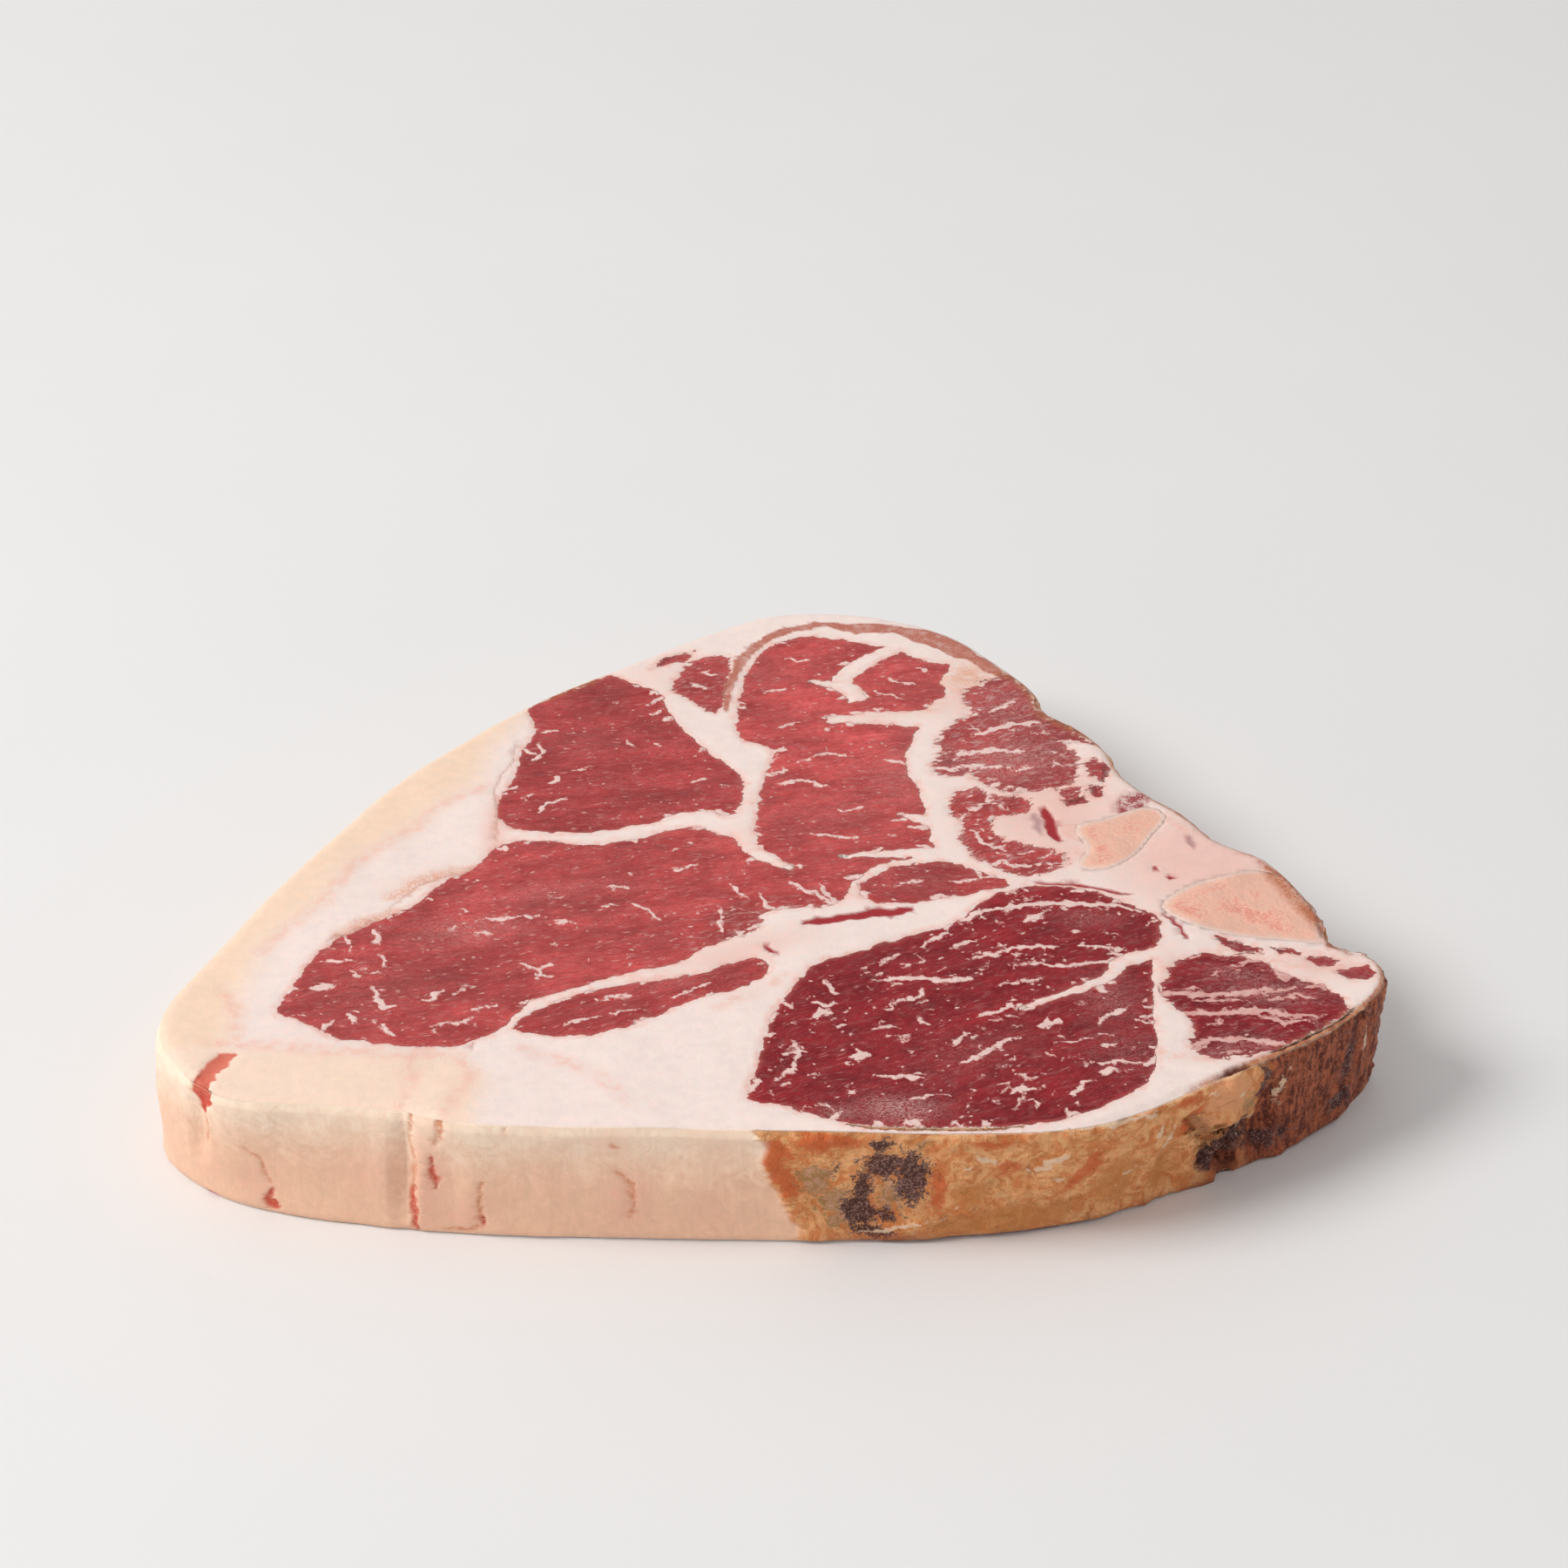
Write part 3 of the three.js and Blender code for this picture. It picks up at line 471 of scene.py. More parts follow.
PALE = [
    (56.6, 22, 5, 1.0, 28, 1.2), (54, 19.4, 4, 0.9, 12, 1.1), (58, 17, 3, 0.8, -20, 0.9), (42.6, 23, 4, 0.9, -24, 1.0),
    (40, 21, 3, 0.7, 30, 0.8), (77, 28.3, 2.6, 0.6, -30, 1.2), (80, 22.8, 0.7, 2.2, 8, 1.2),
    (25, 4.6, 12, 0.8, 12, 0.9),
    (38, 11, 5, 0.7, 30, 0.8), (84, 18, 1.2, 6, -10, 0.7), (74, 12, 1.2, 6, -40, 0.6), (112.6, 20, 1.0, 7, 0, 0.7),
    (105.8, 14, 1.0, 6, 0, 0.8), (92, 27.4, 2, 0.7, 0, 0.9), (100, 24.6, 1.6, 0.7, 20, 0.8),
    (139, 20, 1.4, 9, 0, 0.6), (70, 29, 16, 0.7, 1, 0.8),
]
GOLD = [(48, 5, 22, 5, 3, 1.1), (72, 12, 8, 10, 0, 0.9), (40, 13, 7, 6, 0, 0.7), (84, 9, 6, 9, 0, 0.7)]
FOLD = [(97, 25.5, 8.6, 4.6, -6, 1.2), (92, 20, 4, 4, 0, 0.7)]
FLAP = [(24, 1.4, 13, 1.6, 3, 1.0)]
FLANGE = [(98, 0, 28, 1.7, 0, 1.3)]
CLEFT = [(4.6, [(93, 17), (97, 15.5), (102, 14), (106, 11.5)]), (3.4, [(102, 12), (101, 7), (103, 1)]),
         (1.2, [(88.5, 23), (91, 18), (94, 12), (95.5, 7)])]
# The slit at the rim above the crust fold; its dark brown is painted shade inside the slit.
SLIT = [(1.6, [(85.1, -72.5), (89.3, -69.3), (92.5, -66.8), (95.4, -64.3), (99.9, -63.7)])]
MAUVE = [(118, 15, 13, 44, 0, 1.4), (136, 15, 13, 44, 0, 1.4), (156, 14, 14, 44, 0, 1.3), (176, 14, 12, 44, 0, 0.8),
         (102, 6, 9, 9, 0, 0.9)]
print("marks on the wall", len(WALL_RED + WALL_RUST + ORANGE + PURPLE + PALE))

# %% [markdown]
# ## The skin
# All the soft tissue is modelled as one closed piece. Real fat and lean glow a little where light sinks in and
# comes out beside its entry, and two pieces that only touch would show a dark line between them. So copies of
# the muscles' solids are fattened until they close the narrow gaps round them, and a Boolean union grows them
# into a copy of the fat's solid. The pockets of the two bones stay open.

# %% Grow the muscles into the fat
GAP_CLOSED = 0.34


def make_active(piece):
    bpy.ops.object.select_all(action="DESELECT")
    piece.select_set(True)
    bpy.context.view_layer.objects.active = piece


def copy_of(node, name, swell=0.0):
    """A copy of a CAD solid with its doubles merged, fattened sideways by some mm."""
    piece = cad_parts[node].copy()
    piece.data = piece.data.copy()
    piece.name = piece.data.name = name
    piece.parent = None
    for key in list(piece.keys()):
        del piece[key]
    bpy.context.scene.collection.objects.link(piece)
    make_active(piece)
    bpy.ops.object.mode_set(mode="EDIT")
    bpy.ops.mesh.select_all(action="SELECT")
    bpy.ops.mesh.remove_doubles(threshold=1e-6)
    if swell:
        bpy.ops.transform.shrink_fatten(value=swell * MM, use_even_offset=True)
    bpy.ops.mesh.select_all(action="DESELECT")
    bpy.ops.object.mode_set(mode="OBJECT")
    for vertex in piece.data.vertices:
        vertex.co.z = min(max(vertex.co.z, 0.0), THICKNESS * MM)
    return piece


def boolean(piece, tool, operation):
    make_active(piece)
    cut = piece.modifiers.new("cut", "BOOLEAN")
    cut.operation, cut.object, cut.solver = operation, tool, "MANIFOLD"
    bpy.ops.object.modifier_apply(modifier=cut.name)
    bpy.data.objects.remove(tool)


skin = copy_of("fat", "soft_tissue")
for node in MUSCLES:
    boolean(skin, copy_of(node, "filler", GAP_CLOSED), "UNION")
print("slab of soft tissue", len(skin.data.polygons), "faces")

# %% [markdown]
# A face as large as the palm of a hand can't hold marbling, because the skin's colours and heights live on
# its points. So a fine grid is laid through the slab: a second, gridded block is crossed with it, and the
# Boolean keeps what the two share.

# %% Cross it with a gridded block
SINK = 0.03  # the grid's faces lie this far inside the cut faces, so that they are the ones kept


def lay_grid(piece, spacing, columns, rows, middle=(0.0, 0.0)):
    """Cross a slab with a block whose upper and lower faces are square grids."""
    bpy.ops.object.select_all(action="DESELECT")
    bpy.ops.mesh.primitive_grid_add(
        x_subdivisions=columns, y_subdivisions=rows, size=1, location=(*middle, (THICKNESS - SINK) * MM)
    )
    block = bpy.context.object
    block.name = "gridded_block"
    block.scale = (columns * spacing * MM, rows * spacing * MM, 1)
    bpy.ops.object.transform_apply(location=True, rotation=True, scale=True)
    bpy.ops.object.mode_set(mode="EDIT")
    bpy.ops.mesh.select_all(action="SELECT")
    bpy.ops.mesh.extrude_region_move(TRANSFORM_OT_translate={"value": (0, 0, -(THICKNESS - 2 * SINK) * MM)})
    bpy.ops.mesh.select_all(action="SELECT")
    bpy.ops.mesh.normals_make_consistent(inside=False)
    bpy.ops.object.mode_set(mode="OBJECT")
    boolean(piece, block, "INTERSECT")


lay_grid(skin, spacing=2.0, columns=137, rows=112)
print("gridded skin", len(skin.data.polygons), "faces")

# %% [markdown]
# Then faces are made smaller only where there is something to show. These tests pick them by their centres and
# normals: the marked part of the wall, the rim, the borders of the muscles, and for the smallest faces the streaks.

# %% Where finer faces are wanted
FRONT_WALL = (-134, 180)  # the part of the wall with cracks or crust, in mm along it
RIM_REACH = 2.4  # faces this near to the rim are made finer for its rounding, in mm
FINE_MARKS = BLOOD + BRUISE + DARK_LINES + SLIT + MARROW
FAT_MARKS = FINE_MARKS + [(5.0, NOTCH_TOP[:5])] + MEMBRANE + TORN + RUST[:2] + PINK_SEAMS


def lean_depth(points):
    outlines = [borders[node] for node in MUSCLES] + [loop_edges(corners) for corners in EXTRA_LEAN]
    return np.max([depth_inside(points, outline) for outline in outlines], axis=0)


def on_top(centres, normals):
    return (normals[:, 2] > 0.9) & (centres[:, 2] > 0.9 * THICKNESS * MM)


def near_lean(centres, normals):
    chosen = on_top(centres, normals)
    points = centres[chosen, :2] / MM + PLAN_CENTRE
    lean = lean_depth(points)
    busy = (lean > -0.8) & (stroke_depth(points, STREAKS + flecks) > -0.8)
    chosen[chosen] = busy | (abs(lean) < 1.2) | (stroke_depth(points, FAT_MARKS, 3.0) > -0.8)
    return chosen


def near_streaks(centres, normals):
    chosen = on_top(centres, normals)
    points = centres[chosen, :2] / MM + PLAN_CENTRE
    lean = lean_depth(points)
    close = (stroke_depth(points, STREAKS + flecks) > -0.3) & (lean > -0.3)
    chosen[chosen] = close | (abs(lean) < 0.3) | (stroke_depth(points, FINE_MARKS) > -0.6)
    return chosen


def on_wall(centres, normals):
    return abs(normals[:, 2]) < 0.97


def on_front(centres, normals):
    along = along_rim(centres / MM)
    return on_wall(centres, normals) & (along > FRONT_WALL[0]) & (along < FRONT_WALL[1])


def near_cracks(centres, normals):
    place = np.stack([along_rim(centres / MM), centres[:, 2] / MM], 1)
    return on_wall(centres, normals) & (stroke_depth(place, WALL_RED + WALL_RUST + CLEFT) > -0.5)


def near_rim(centres, normals):
    top = on_top(centres, normals) & (depth_inside(centres[:, :2] / MM, RIM_EDGES) < RIM_REACH)
    return top | (on_front(centres, normals) & (centres[:, 2] > (THICKNESS - 0.8 * RIM_REACH) * MM))


print("strokes that fine faces follow", len(STREAKS + flecks + FAT_MARKS))

# %% [markdown]
# Each pass halves the edges of the faces that a test picks, and leaves out those that are small enough already.
# Triangles come last: a face of three corners stays flat however its points are moved.

# %% Finer faces
SLIVER = 0.0005  # edges shorter than this are merged away, in mm


def slice_wall(piece, spacing):
    """Cut level lines round the wall, so that its tall faces become rows."""
    make_active(piece)
    bpy.ops.object.mode_set(mode="EDIT")
    for height in np.arange(spacing, THICKNESS - 0.5 * spacing, spacing):
        bpy.ops.mesh.select_all(action="SELECT")
        bpy.ops.mesh.bisect(plane_co=(0, 0, height * MM), plane_no=(0, 0, 1))
    bpy.ops.mesh.select_all(action="DESELECT")
    bpy.ops.object.mode_set(mode="OBJECT")
    print("sliced wall", len(piece.data.polygons), "faces")


def refine(piece, wanted, larger_than=0.0):
    """Halve the edges of the faces that a test of centre and normal picks, over a size in square mm."""
    make_active(piece)
    count = len(piece.data.polygons)
    centres, normals, areas = (np.empty(count * size, np.float32) for size in (3, 3, 1))
    for name, values in (("center", centres), ("normal", normals), ("area", areas)):
        piece.data.polygons.foreach_get(name, values)
    chosen = np.array(wanted(centres.reshape(-1, 3), normals.reshape(-1, 3)), bool)
    chosen &= areas > larger_than * MM * MM
    for parts in (piece.data.vertices, piece.data.edges):
        parts.foreach_set("select", np.zeros(len(parts), bool))
    piece.data.polygons.foreach_set("select", chosen)
    bpy.ops.object.mode_set(mode="EDIT")
    bpy.ops.mesh.select_mode(type="FACE")
    bpy.ops.mesh.subdivide(number_cuts=1, smoothness=0)
    bpy.ops.mesh.select_all(action="DESELECT")
    bpy.ops.object.mode_set(mode="OBJECT")
    print("refined", int(chosen.sum()), "faces to", len(piece.data.polygons))


def to_triangles(piece):
    """Split every face, so that moved points can't fold one over, and drop the slivers with no area."""
    make_active(piece)
    bpy.ops.object.mode_set(mode="EDIT")
    bpy.ops.mesh.select_all(action="SELECT")
    bpy.ops.mesh.quads_convert_to_tris(quad_method="BEAUTY", ngon_method="BEAUTY")
    bpy.ops.mesh.dissolve_degenerate(threshold=SLIVER * MM)
    bpy.ops.object.mode_set(mode="OBJECT")


slice_wall(skin, spacing=1.5)
refine(skin, on_front, larger_than=1.0)
refine(skin, near_cracks, larger_than=0.3)
refine(skin, near_rim)
refine(skin, near_lean, larger_than=1.2)
refine(skin, near_streaks, larger_than=0.4)
to_triangles(skin)
print("skin", len(skin.data.polygons), "triangles")

# %% [markdown]
# ## What lies where
# Each mark becomes a number on every point of the skin: how deep in the lean it lies, how deep in a streak, how
# strong a stain is. The material reads them as attributes. A little noise bends every border first, because
# nothing in meat runs straight.

# %% Read the marks at every point
def read_points(piece):
    values = np.empty(len(piece.data.vertices) * 3, np.float32)
    piece.data.vertices.foreach_get("co", values)
    return values.reshape(-1, 3).astype(float) / MM


def read_normals(piece):
    values = np.empty(len(piece.data.vertices) * 3, np.float32)
    piece.data.vertex_normals.foreach_get("vector", values)
    return values.reshape(-1, 3).astype(float)


def wobble(points, size, seed, octaves=2):
    """Soft noise round 0, mostly within -1 and 1, with bumps some mm across."""
    points = np.asarray(points) / size + seed * 7.31
    return np.array([noise.fractal(point, 1.0, 2.0, octaves) for point in map(Vector, points)]) * 1.6


def wobble_pair(points, size, seed):
    return np.stack([wobble(points, size, seed), wobble(points, size, seed + 1)], 1)


def ramp(values, low, high):
    """Rise smoothly from 0 at the low value to 1 at the high one."""
    share = np.clip((values - low) / (high - low), 0, 1)
    return share * share * (3 - 2 * share)


def store(piece, name, values):
    kind = "FLOAT" if np.ndim(values) == 1 else "FLOAT_VECTOR"
    layer = piece.data.attributes.new(name, kind, "POINT")
    layer.data.foreach_set("value" if kind == "FLOAT" else "vector", np.asarray(values, np.float32).ravel())


places, facing = read_points(skin), read_normals(skin)
flat = places * (1, 1, 0)
plan = places[:, :2] + PLAN_CENTRE + 0.45 * wobble_pair(flat, 3.0, 1)
ribbon = np.stack([along_rim(places), places[:, 2]], 1) + 0.8 * wobble_pair(places, 4, 3)
rim_gap = depth_inside(places[:, :2], RIM_EDGES)
beside_bone = np.max([depth_inside(places[:, :2] + PLAN_CENTRE, borders[node]) for node in BONES], axis=0)
wall = ramp(-abs(facing[:, 2]), -0.86, -0.5) * ramp(-beside_bone, 0.6, 1.0)
print("points", len(places), "on the wall", int((wall > 0.5).sum()))

# %% Marks of the cut face
lean = lean_depth(plan)
vein = stroke_depth(plan + 0.5 * wobble_pair(flat, 1.7, 16), STREAKS + flecks)
dark, fray = np.full(len(plan), 0.7), np.full(len(plan), 1.8)
grain = np.column_stack([plan, places[:, 2]])
nearest = np.full(len(plan), -5.9)
for node, look in CUT_LOOK.items():
    depth_here = depth_inside(plan, borders[node])
    here = depth_here > nearest
    nearest = np.maximum(nearest, depth_here)
    turn = math.radians(look[0])
    dark[here], fray[here] = look[4:]
    x, y = plan[here].T
    grain[here] = np.stack([
        x * math.cos(turn) + y * math.sin(turn), y * math.cos(turn) - x * math.sin(turn), places[here, 2]
    ], 1)
cut = 1 - wall
OUTER_FAT = loop_edges([
    (-112, -60), (-112, -40), (-109.8, -24), (-105.4, -15), (-98.6, -6), (-94.8, 6), (-90, 14), (-83, 22),
    (-76, 33), (-68, 42), (-66, 56), (-60, 70), (-40, 95), (-90, 130), (-190, 60), (-190, -70),
])
CORNER_FAT = loop_edges([(-130, -58), (-112, -58.5), (-88, -60.2), (-66, -60.4), (-60, -68), (-62, -90), (-140, -90)])
marks = {
    "lean": lean, "vein": vein, "dark": dark, "wall": wall,
    "fray": fray + blobs(plan, FEATHERY),
    # the lean's painted light and shade, and its dried haze with painted sheen
    "haze_and_sheen": blobs(plan, HAZE_AND_SHEEN) * cut, "painted_light_and_shade": 0.16 * (blobs(plan, LIT) - blobs(plan, SHADED)),
    "peach": blobs(plan, PEACHY), "curd": blobs(plan, CURDY) * cut,
    "blood": ramp(stroke_depth(plan, BLOOD), -0.45, 0.25) * cut,
    "marrow": ramp(stroke_depth(plan, MARROW, 3.0), -1.0, 1.0) * cut,
    "bruise": ramp(stroke_depth(plan, BRUISE), -0.9, 0.6) * cut,
    "membrane": ramp(stroke_depth(plan, MEMBRANE, 3.0), -0.7, 0.7),
    "rust": ramp(stroke_depth(plan, RUST, 3.0), -1.1, 0.9),
    "seam": ramp(stroke_depth(plan, PINK_SEAMS, 3.0), -2.2, 0.4) * cut,
    "line": ramp(stroke_depth(plan, DARK_LINES), -0.5, 0.3) * cut,
    "torn": ramp(stroke_depth(plan, TORN, 3.0), -1.2, 1.0) * cut,
    "cream": np.maximum(
        ramp(depth_inside(plan, OUTER_FAT), -5, 6), 0.75 * ramp(depth_inside(plan, CORNER_FAT), -5, 3)
    ),
}
print("fields of the cut face", list(marks))

# %% Marks of the wall
edge_along, edge_height = np.array(CRUST_EDGE[::-1]).T
crust_depth = ribbon[:, 0] - np.interp(ribbon[:, 1], edge_height, edge_along) + 0.9 * wobble(places, 5, 15, 3)
crust = ramp(crust_depth, -0.8, 0.8) * ramp(-ribbon[:, 0], -330, -290) * wall
marks.update({
    "crust": crust,
    "red": ramp(stroke_depth(ribbon, WALL_RED), -0.5, 0.35) * wall,
    "notch": np.maximum(ramp(depth_inside(ribbon, loop_edges(NOTCH_WALL)), -0.3, 0.9) * wall,
                        ramp(depth_inside(plan, loop_edges(NOTCH_TOP)), -0.3, 0.9) * cut),
    "crack": ramp(stroke_depth(ribbon, WALL_RUST), -0.6, 0.2) * wall,
    "pink": blobs(ribbon, WALL_PINK) * wall,
    "orange": blobs(ribbon, ORANGE), "purple": blobs(ribbon, PURPLE), "grey": blobs(ribbon, GREY),
    "pale": blobs(ribbon, PALE), "mauve": blobs(ribbon, MAUVE), "gold": blobs(ribbon, GOLD),
    "fold": blobs(ribbon, FOLD) * wall, "flange": blobs(ribbon, FLANGE + FLAP) * wall,
    "slit": ramp(stroke_depth(plan, SLIT), -0.5, 0.3) * cut,
    "rind": ramp(rim_gap, 2.6, 0.4) * ramp(ribbon[:, 0], 84, 96) * ramp(ribbon[:, 0], 300, 280) * cut,
    "cleft": ramp(stroke_depth(ribbon, CLEFT, 4), -1.6, 1.2) * wall,
})
for name, values in marks.items():
    store(skin, name, values)
store(skin, "grain", grain)
print("fields in all", len(marks) + 1)

# %% [markdown]
# ## Relief
# Cold fat stands a little proud of the lean beside it, a shallow groove follows each border, the lean is ribbed
# along its fibres and the slab isn't quite flat. On the wall the crust is lumpy, and it has a fold with a cleft
# below it. The sharp upper edge of the wall is rounded last. The points themselves are moved, so the relief is
# real in every view.

# %% How the points move
LOWEST = 0.02  # no point comes nearer to the floor than this, in mm


def sag(flat):
    """How far the cut face lies above or below a plane, in mm: no slab of meat is quite flat."""
    return 0.34 * wobble(flat, 38, 6) + 0.13 * wobble(flat, 9, 7)


def rounded_rim(places, gap, radius):
    """Moves that round the upper edge of the wall: points near it slide on to a quarter circle."""
    inward, down = radius - np.clip(gap, 0, radius), radius - np.clip(THICKNESS - places[:, 2], 0, radius)
    reach = np.maximum(np.hypot(inward, down), 1e-6)
    share = np.clip(1 - radius / reach, 0, 1)
    near = np.flatnonzero(share > 0)
    spots, step = places[near, :2], 0.05
    slope = np.stack([depth_inside(spots + np.eye(2)[i] * step, RIM_EDGES) for i in (0, 1)], 1) - gap[near, None]
    slope /= np.maximum(np.linalg.norm(slope, axis=1), 1e-6)[:, None]
    moves = np.zeros_like(places)
    moves[near, :2] = slope * (share * inward)[near, None]
    moves[:, 2] = -share * down
    return moves


def set_points(piece, points, smooth_below):
    """Give a piece its moved points, and smooth shading where faces meet at less than some degrees."""
    points[:, 2] = np.maximum(points[:, 2], LOWEST)
    piece.data.vertices.foreach_set("co", (points * MM).astype(np.float32).ravel())
    piece.data.update()
    make_active(piece)
    bpy.ops.object.shade_smooth_by_angle(angle=math.radians(smooth_below))


print("sag in the middle", sag(np.zeros((1, 3))).round(2), "mm")

# %% Relief of the cut face
face = cut * (facing[:, 2] > 0)
proud = ramp(-lean, -0.5, 0.6)
lift = face * (
    0.16 * proud
    + 0.12 * ramp(vein, -0.3, 0.3) * (1 - proud)
    - 0.18 * np.exp(-((lean / 0.8) ** 2)) * (0.3 + 0.7 * abs(wobble(flat, 9, 5)))
    + sag(flat)
    + 0.16 * wobble(grain * (0.14, 0.8, 0.1), 1, 8) * ramp(lean, 0, 1)
    - 0.12 * marks["line"] - 0.08 * marks["torn"] * (1 + wobble(flat, 2, 9))
    - 0.4 * marks["blood"] * (1 - proud * 0.4) - 0.7 * marks["notch"] - 0.5 * marks["slit"]
)
CORNER_SLOPE = loop_edges([(-130, -60), (-66, -61), (-66, -95), (-130, -95)])
lift -= face * 1.1 * ramp(depth_inside(plan, CORNER_SLOPE, 12), 0, 12)
print("relief of the cut face from", lift.min().round(2), "to", lift.max().round(2))

# %% Relief of the wall
strands = np.stack([ribbon[:, 0] / 1.8, places[:, 2] / 16, places[:, 2] * 0], 1)
footing = ramp(places[:, 2], 0, 4)
bulge = wall * (
    0.28 * wobble(places, 14, 10)
    + marks["crust"] * footing * (0.45 * wobble(places, 6, 11, 4) + 0.18 * wobble(places, 1.6, 14, 2))
    + 0.4 * marks["crust"] * np.exp(-((crust_depth - 1.5) / 2.0) ** 2)
    + 0.35 * marks["pale"] * marks["crust"]
    + 1.7 * blobs(ribbon, FOLD) + 0.7 * blobs(ribbon, FLAP) + 1.6 * blobs(ribbon, FLANGE)
    + 0.5 * footing * wobble(strands, 1, 13) * np.minimum(marks["mauve"], 1)
    - 2.6 * marks["cleft"]
    - 0.25 * marks["crack"] - 0.4 * marks["red"] - 0.8 * marks["notch"]
)
rim_radius = 0.8 + 0.8 * ramp(-ribbon[:, 0], 2, 14) * ramp(ribbon[:, 0], -150, -136)
moved = places + facing * bulge[:, None] + rounded_rim(places, rim_gap, rim_radius)
moved[:, 2] += lift
set_points(skin, moved, smooth_below=60)
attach(skin, "root")
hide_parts("fat", *MUSCLES)
print("relief of the wall from", bulge.min().round(2), "to", bulge.max().round(2))

# %% [markdown]
# ## Shader sums
# A finish is a picture worked out at every point. Written as node links it would be hard to read, so a small
# class wraps a socket: adding or multiplying two of them adds the Math node that does it. Colours are then laid
# over each other like coats of paint.

# %% A wrapped socket and a finish
class Wire:
    """A shader socket that can be used in a sum."""

    def __init__(self, finish, socket):
        self.finish, self.socket = finish, socket

    def sum(self, operation, other, swapped=False):
        pair = (other, self) if swapped else (self, other)
        many = any(isinstance(side, Wire) and side.socket.type != "VALUE" for side in pair)
        many = many or any(isinstance(side, tuple) for side in pair)
        pair = [(side,) * 3 if many and isinstance(side, (int, float)) else side for side in pair]
        kind = "ShaderNodeVectorMath" if many else "ShaderNodeMath"
        return self.finish.node(kind, {"operation": operation}, {0: pair[0], 1: pair[1]})

    def __add__(self, other): return self.sum("ADD", other)
    def __radd__(self, other): return self.sum("ADD", other, True)
    def __sub__(self, other): return self.sum("SUBTRACT", other)
    def __rsub__(self, other): return self.sum("SUBTRACT", other, True)
    def __mul__(self, other): return self.sum("MULTIPLY", other)
    def __rmul__(self, other): return self.sum("MULTIPLY", other, True)


class Finish:
    """A material whose nodes are made by expressions."""

    def __init__(self, name):
        self.material = bpy.data.materials.new(name)
        self.material.use_nodes = True
        self.shader = self.material.node_tree.nodes["Principled BSDF"]

    def node(self, kind, settings, values, output=0):
        made = self.material.node_tree.nodes.new(kind)
        for name, setting in settings.items():
            setattr(made, name, setting)
        for name, value in values.items():
            self.plug(made.inputs[name], value)
        return Wire(self, made.outputs[output])

    def plug(self, socket, value):
        if isinstance(value, Wire):
            self.material.node_tree.links.new(value.socket, socket)
        elif socket.type == "RGBA":
            socket.default_value = (*value[:3], 1.0)
        else:
            socket.default_value = value

    def place(self):
        """The place on the piece, in mm."""
        return self.node("ShaderNodeTexCoord", {}, {}, "Object") * 1000.0

    def read(self, name, output="Fac"):
        return self.node("ShaderNodeAttribute", {"attribute_name": name}, {}, output)

    def noise(self, where, scale, detail=2.0, roughness=0.5, swirl=0.0):
        values = {"Vector": where, "Scale": scale, "Detail": detail, "Roughness": roughness, "Distortion": swirl}
        return self.node("ShaderNodeTexNoise", {}, values, 0)

    def cells(self, where, scale, output="Distance"):
        return self.node("ShaderNodeTexVoronoi", {}, {"Vector": where, "Scale": scale}, output)

    def ramp(self, value, low, high, start=0.0, end=1.0):
        settings = {"interpolation_type": "SMOOTHSTEP"}
        values = {"Value": value, "From Min": low, "From Max": high, "To Min": start, "To Max": end}
        return self.node("ShaderNodeMapRange", settings, values)

    def mix(self, share, first, second):
        return self.node("ShaderNodeMix", {"data_type": "RGBA"}, {0: share, 6: first, 7: second}, 2)

    def coats(self, colour, *coats):
        """Lay coats over a colour: each is how much of it shows, and its own colour."""
        for share, tint in coats:
            colour = self.mix(share, colour, tint)
        return colour

    def finish(self, colour, roughness, height, **fixed):
        """Link what varies and set what doesn't. The height is in mm."""
        bump = self.node("ShaderNodeBump", {}, {"Height": height, "Distance": 0.001, "Strength": 1.0})
        self.plug(self.shader.inputs["Base Color"], colour)
        self.plug(self.shader.inputs["Roughness"], roughness)
        self.plug(self.shader.inputs["Normal"], bump)
        for name, value in fixed.items():
            self.shader.inputs[name.replace("_", " ")].default_value = value
        return self.material


print("shader helpers ready")

# %% [markdown]
# ## The finish of lean and fat
# Lean is a red gel packed in fibres, so its patterns are stretched along the grain. The stored grain gives them
# a place that turns with each muscle.

# %% Patterns of the soft tissue
tissue = Finish("soft tissue")
mix, coats, fade, read = tissue.mix, tissue.coats, tissue.ramp, tissue.read
spot = tissue.place()
along_grain = read("grain", "Vector")
fibre = tissue.noise(along_grain * (0.26, 1.2, 0.6), 1.0, 4.0, 0.68, 0.6)
thread = tissue.noise(along_grain * (0.9, 4.0, 1.0), 1.0, 3.0, 0.6)
glint = tissue.noise(along_grain * (2.2, 4.4, 2.0), 1.0, 2.0, 0.7)
ragged = tissue.noise(along_grain * (0.3, 0.75, 0.5), 1.0, 4.0, 0.62)
muscle_tone = tissue.noise(along_grain * (0.05, 0.16, 0.1), 1.0, 3.0, 0.55)
fine = tissue.noise(spot, 2.4, 3.0, 0.6)
nibble = tissue.noise(spot, 1.0, 4.0, 0.65)
soft = tissue.noise(spot, 0.45, 2.0)
broad = tissue.noise(spot, 0.07, 3.0)
print("patterns of the soft tissue ready")

# %% [markdown]
# Lean and fat meet where the depth in the lean passes zero, which stays a sharp border at any zoom, and noise
# frays it. The finest marbling is a speck in some of the cells of a pattern.

# %% Where lean, streaks and specks lie
fray, dark = read("fray"), read("dark")
depth = read("lean") + (fine - 0.5) * 0.4 + (ragged - 0.5) * fray * 2.0
is_lean = fade(depth, -0.12, 0.14)
streak = read("vein") + (fine - 0.5) * 0.6 + (ragged - 0.5) * (fray * 0.3 + 0.7) + (nibble - 0.5) * 1.1 - 0.05
is_vein = fade(streak, -0.26, 0.14)


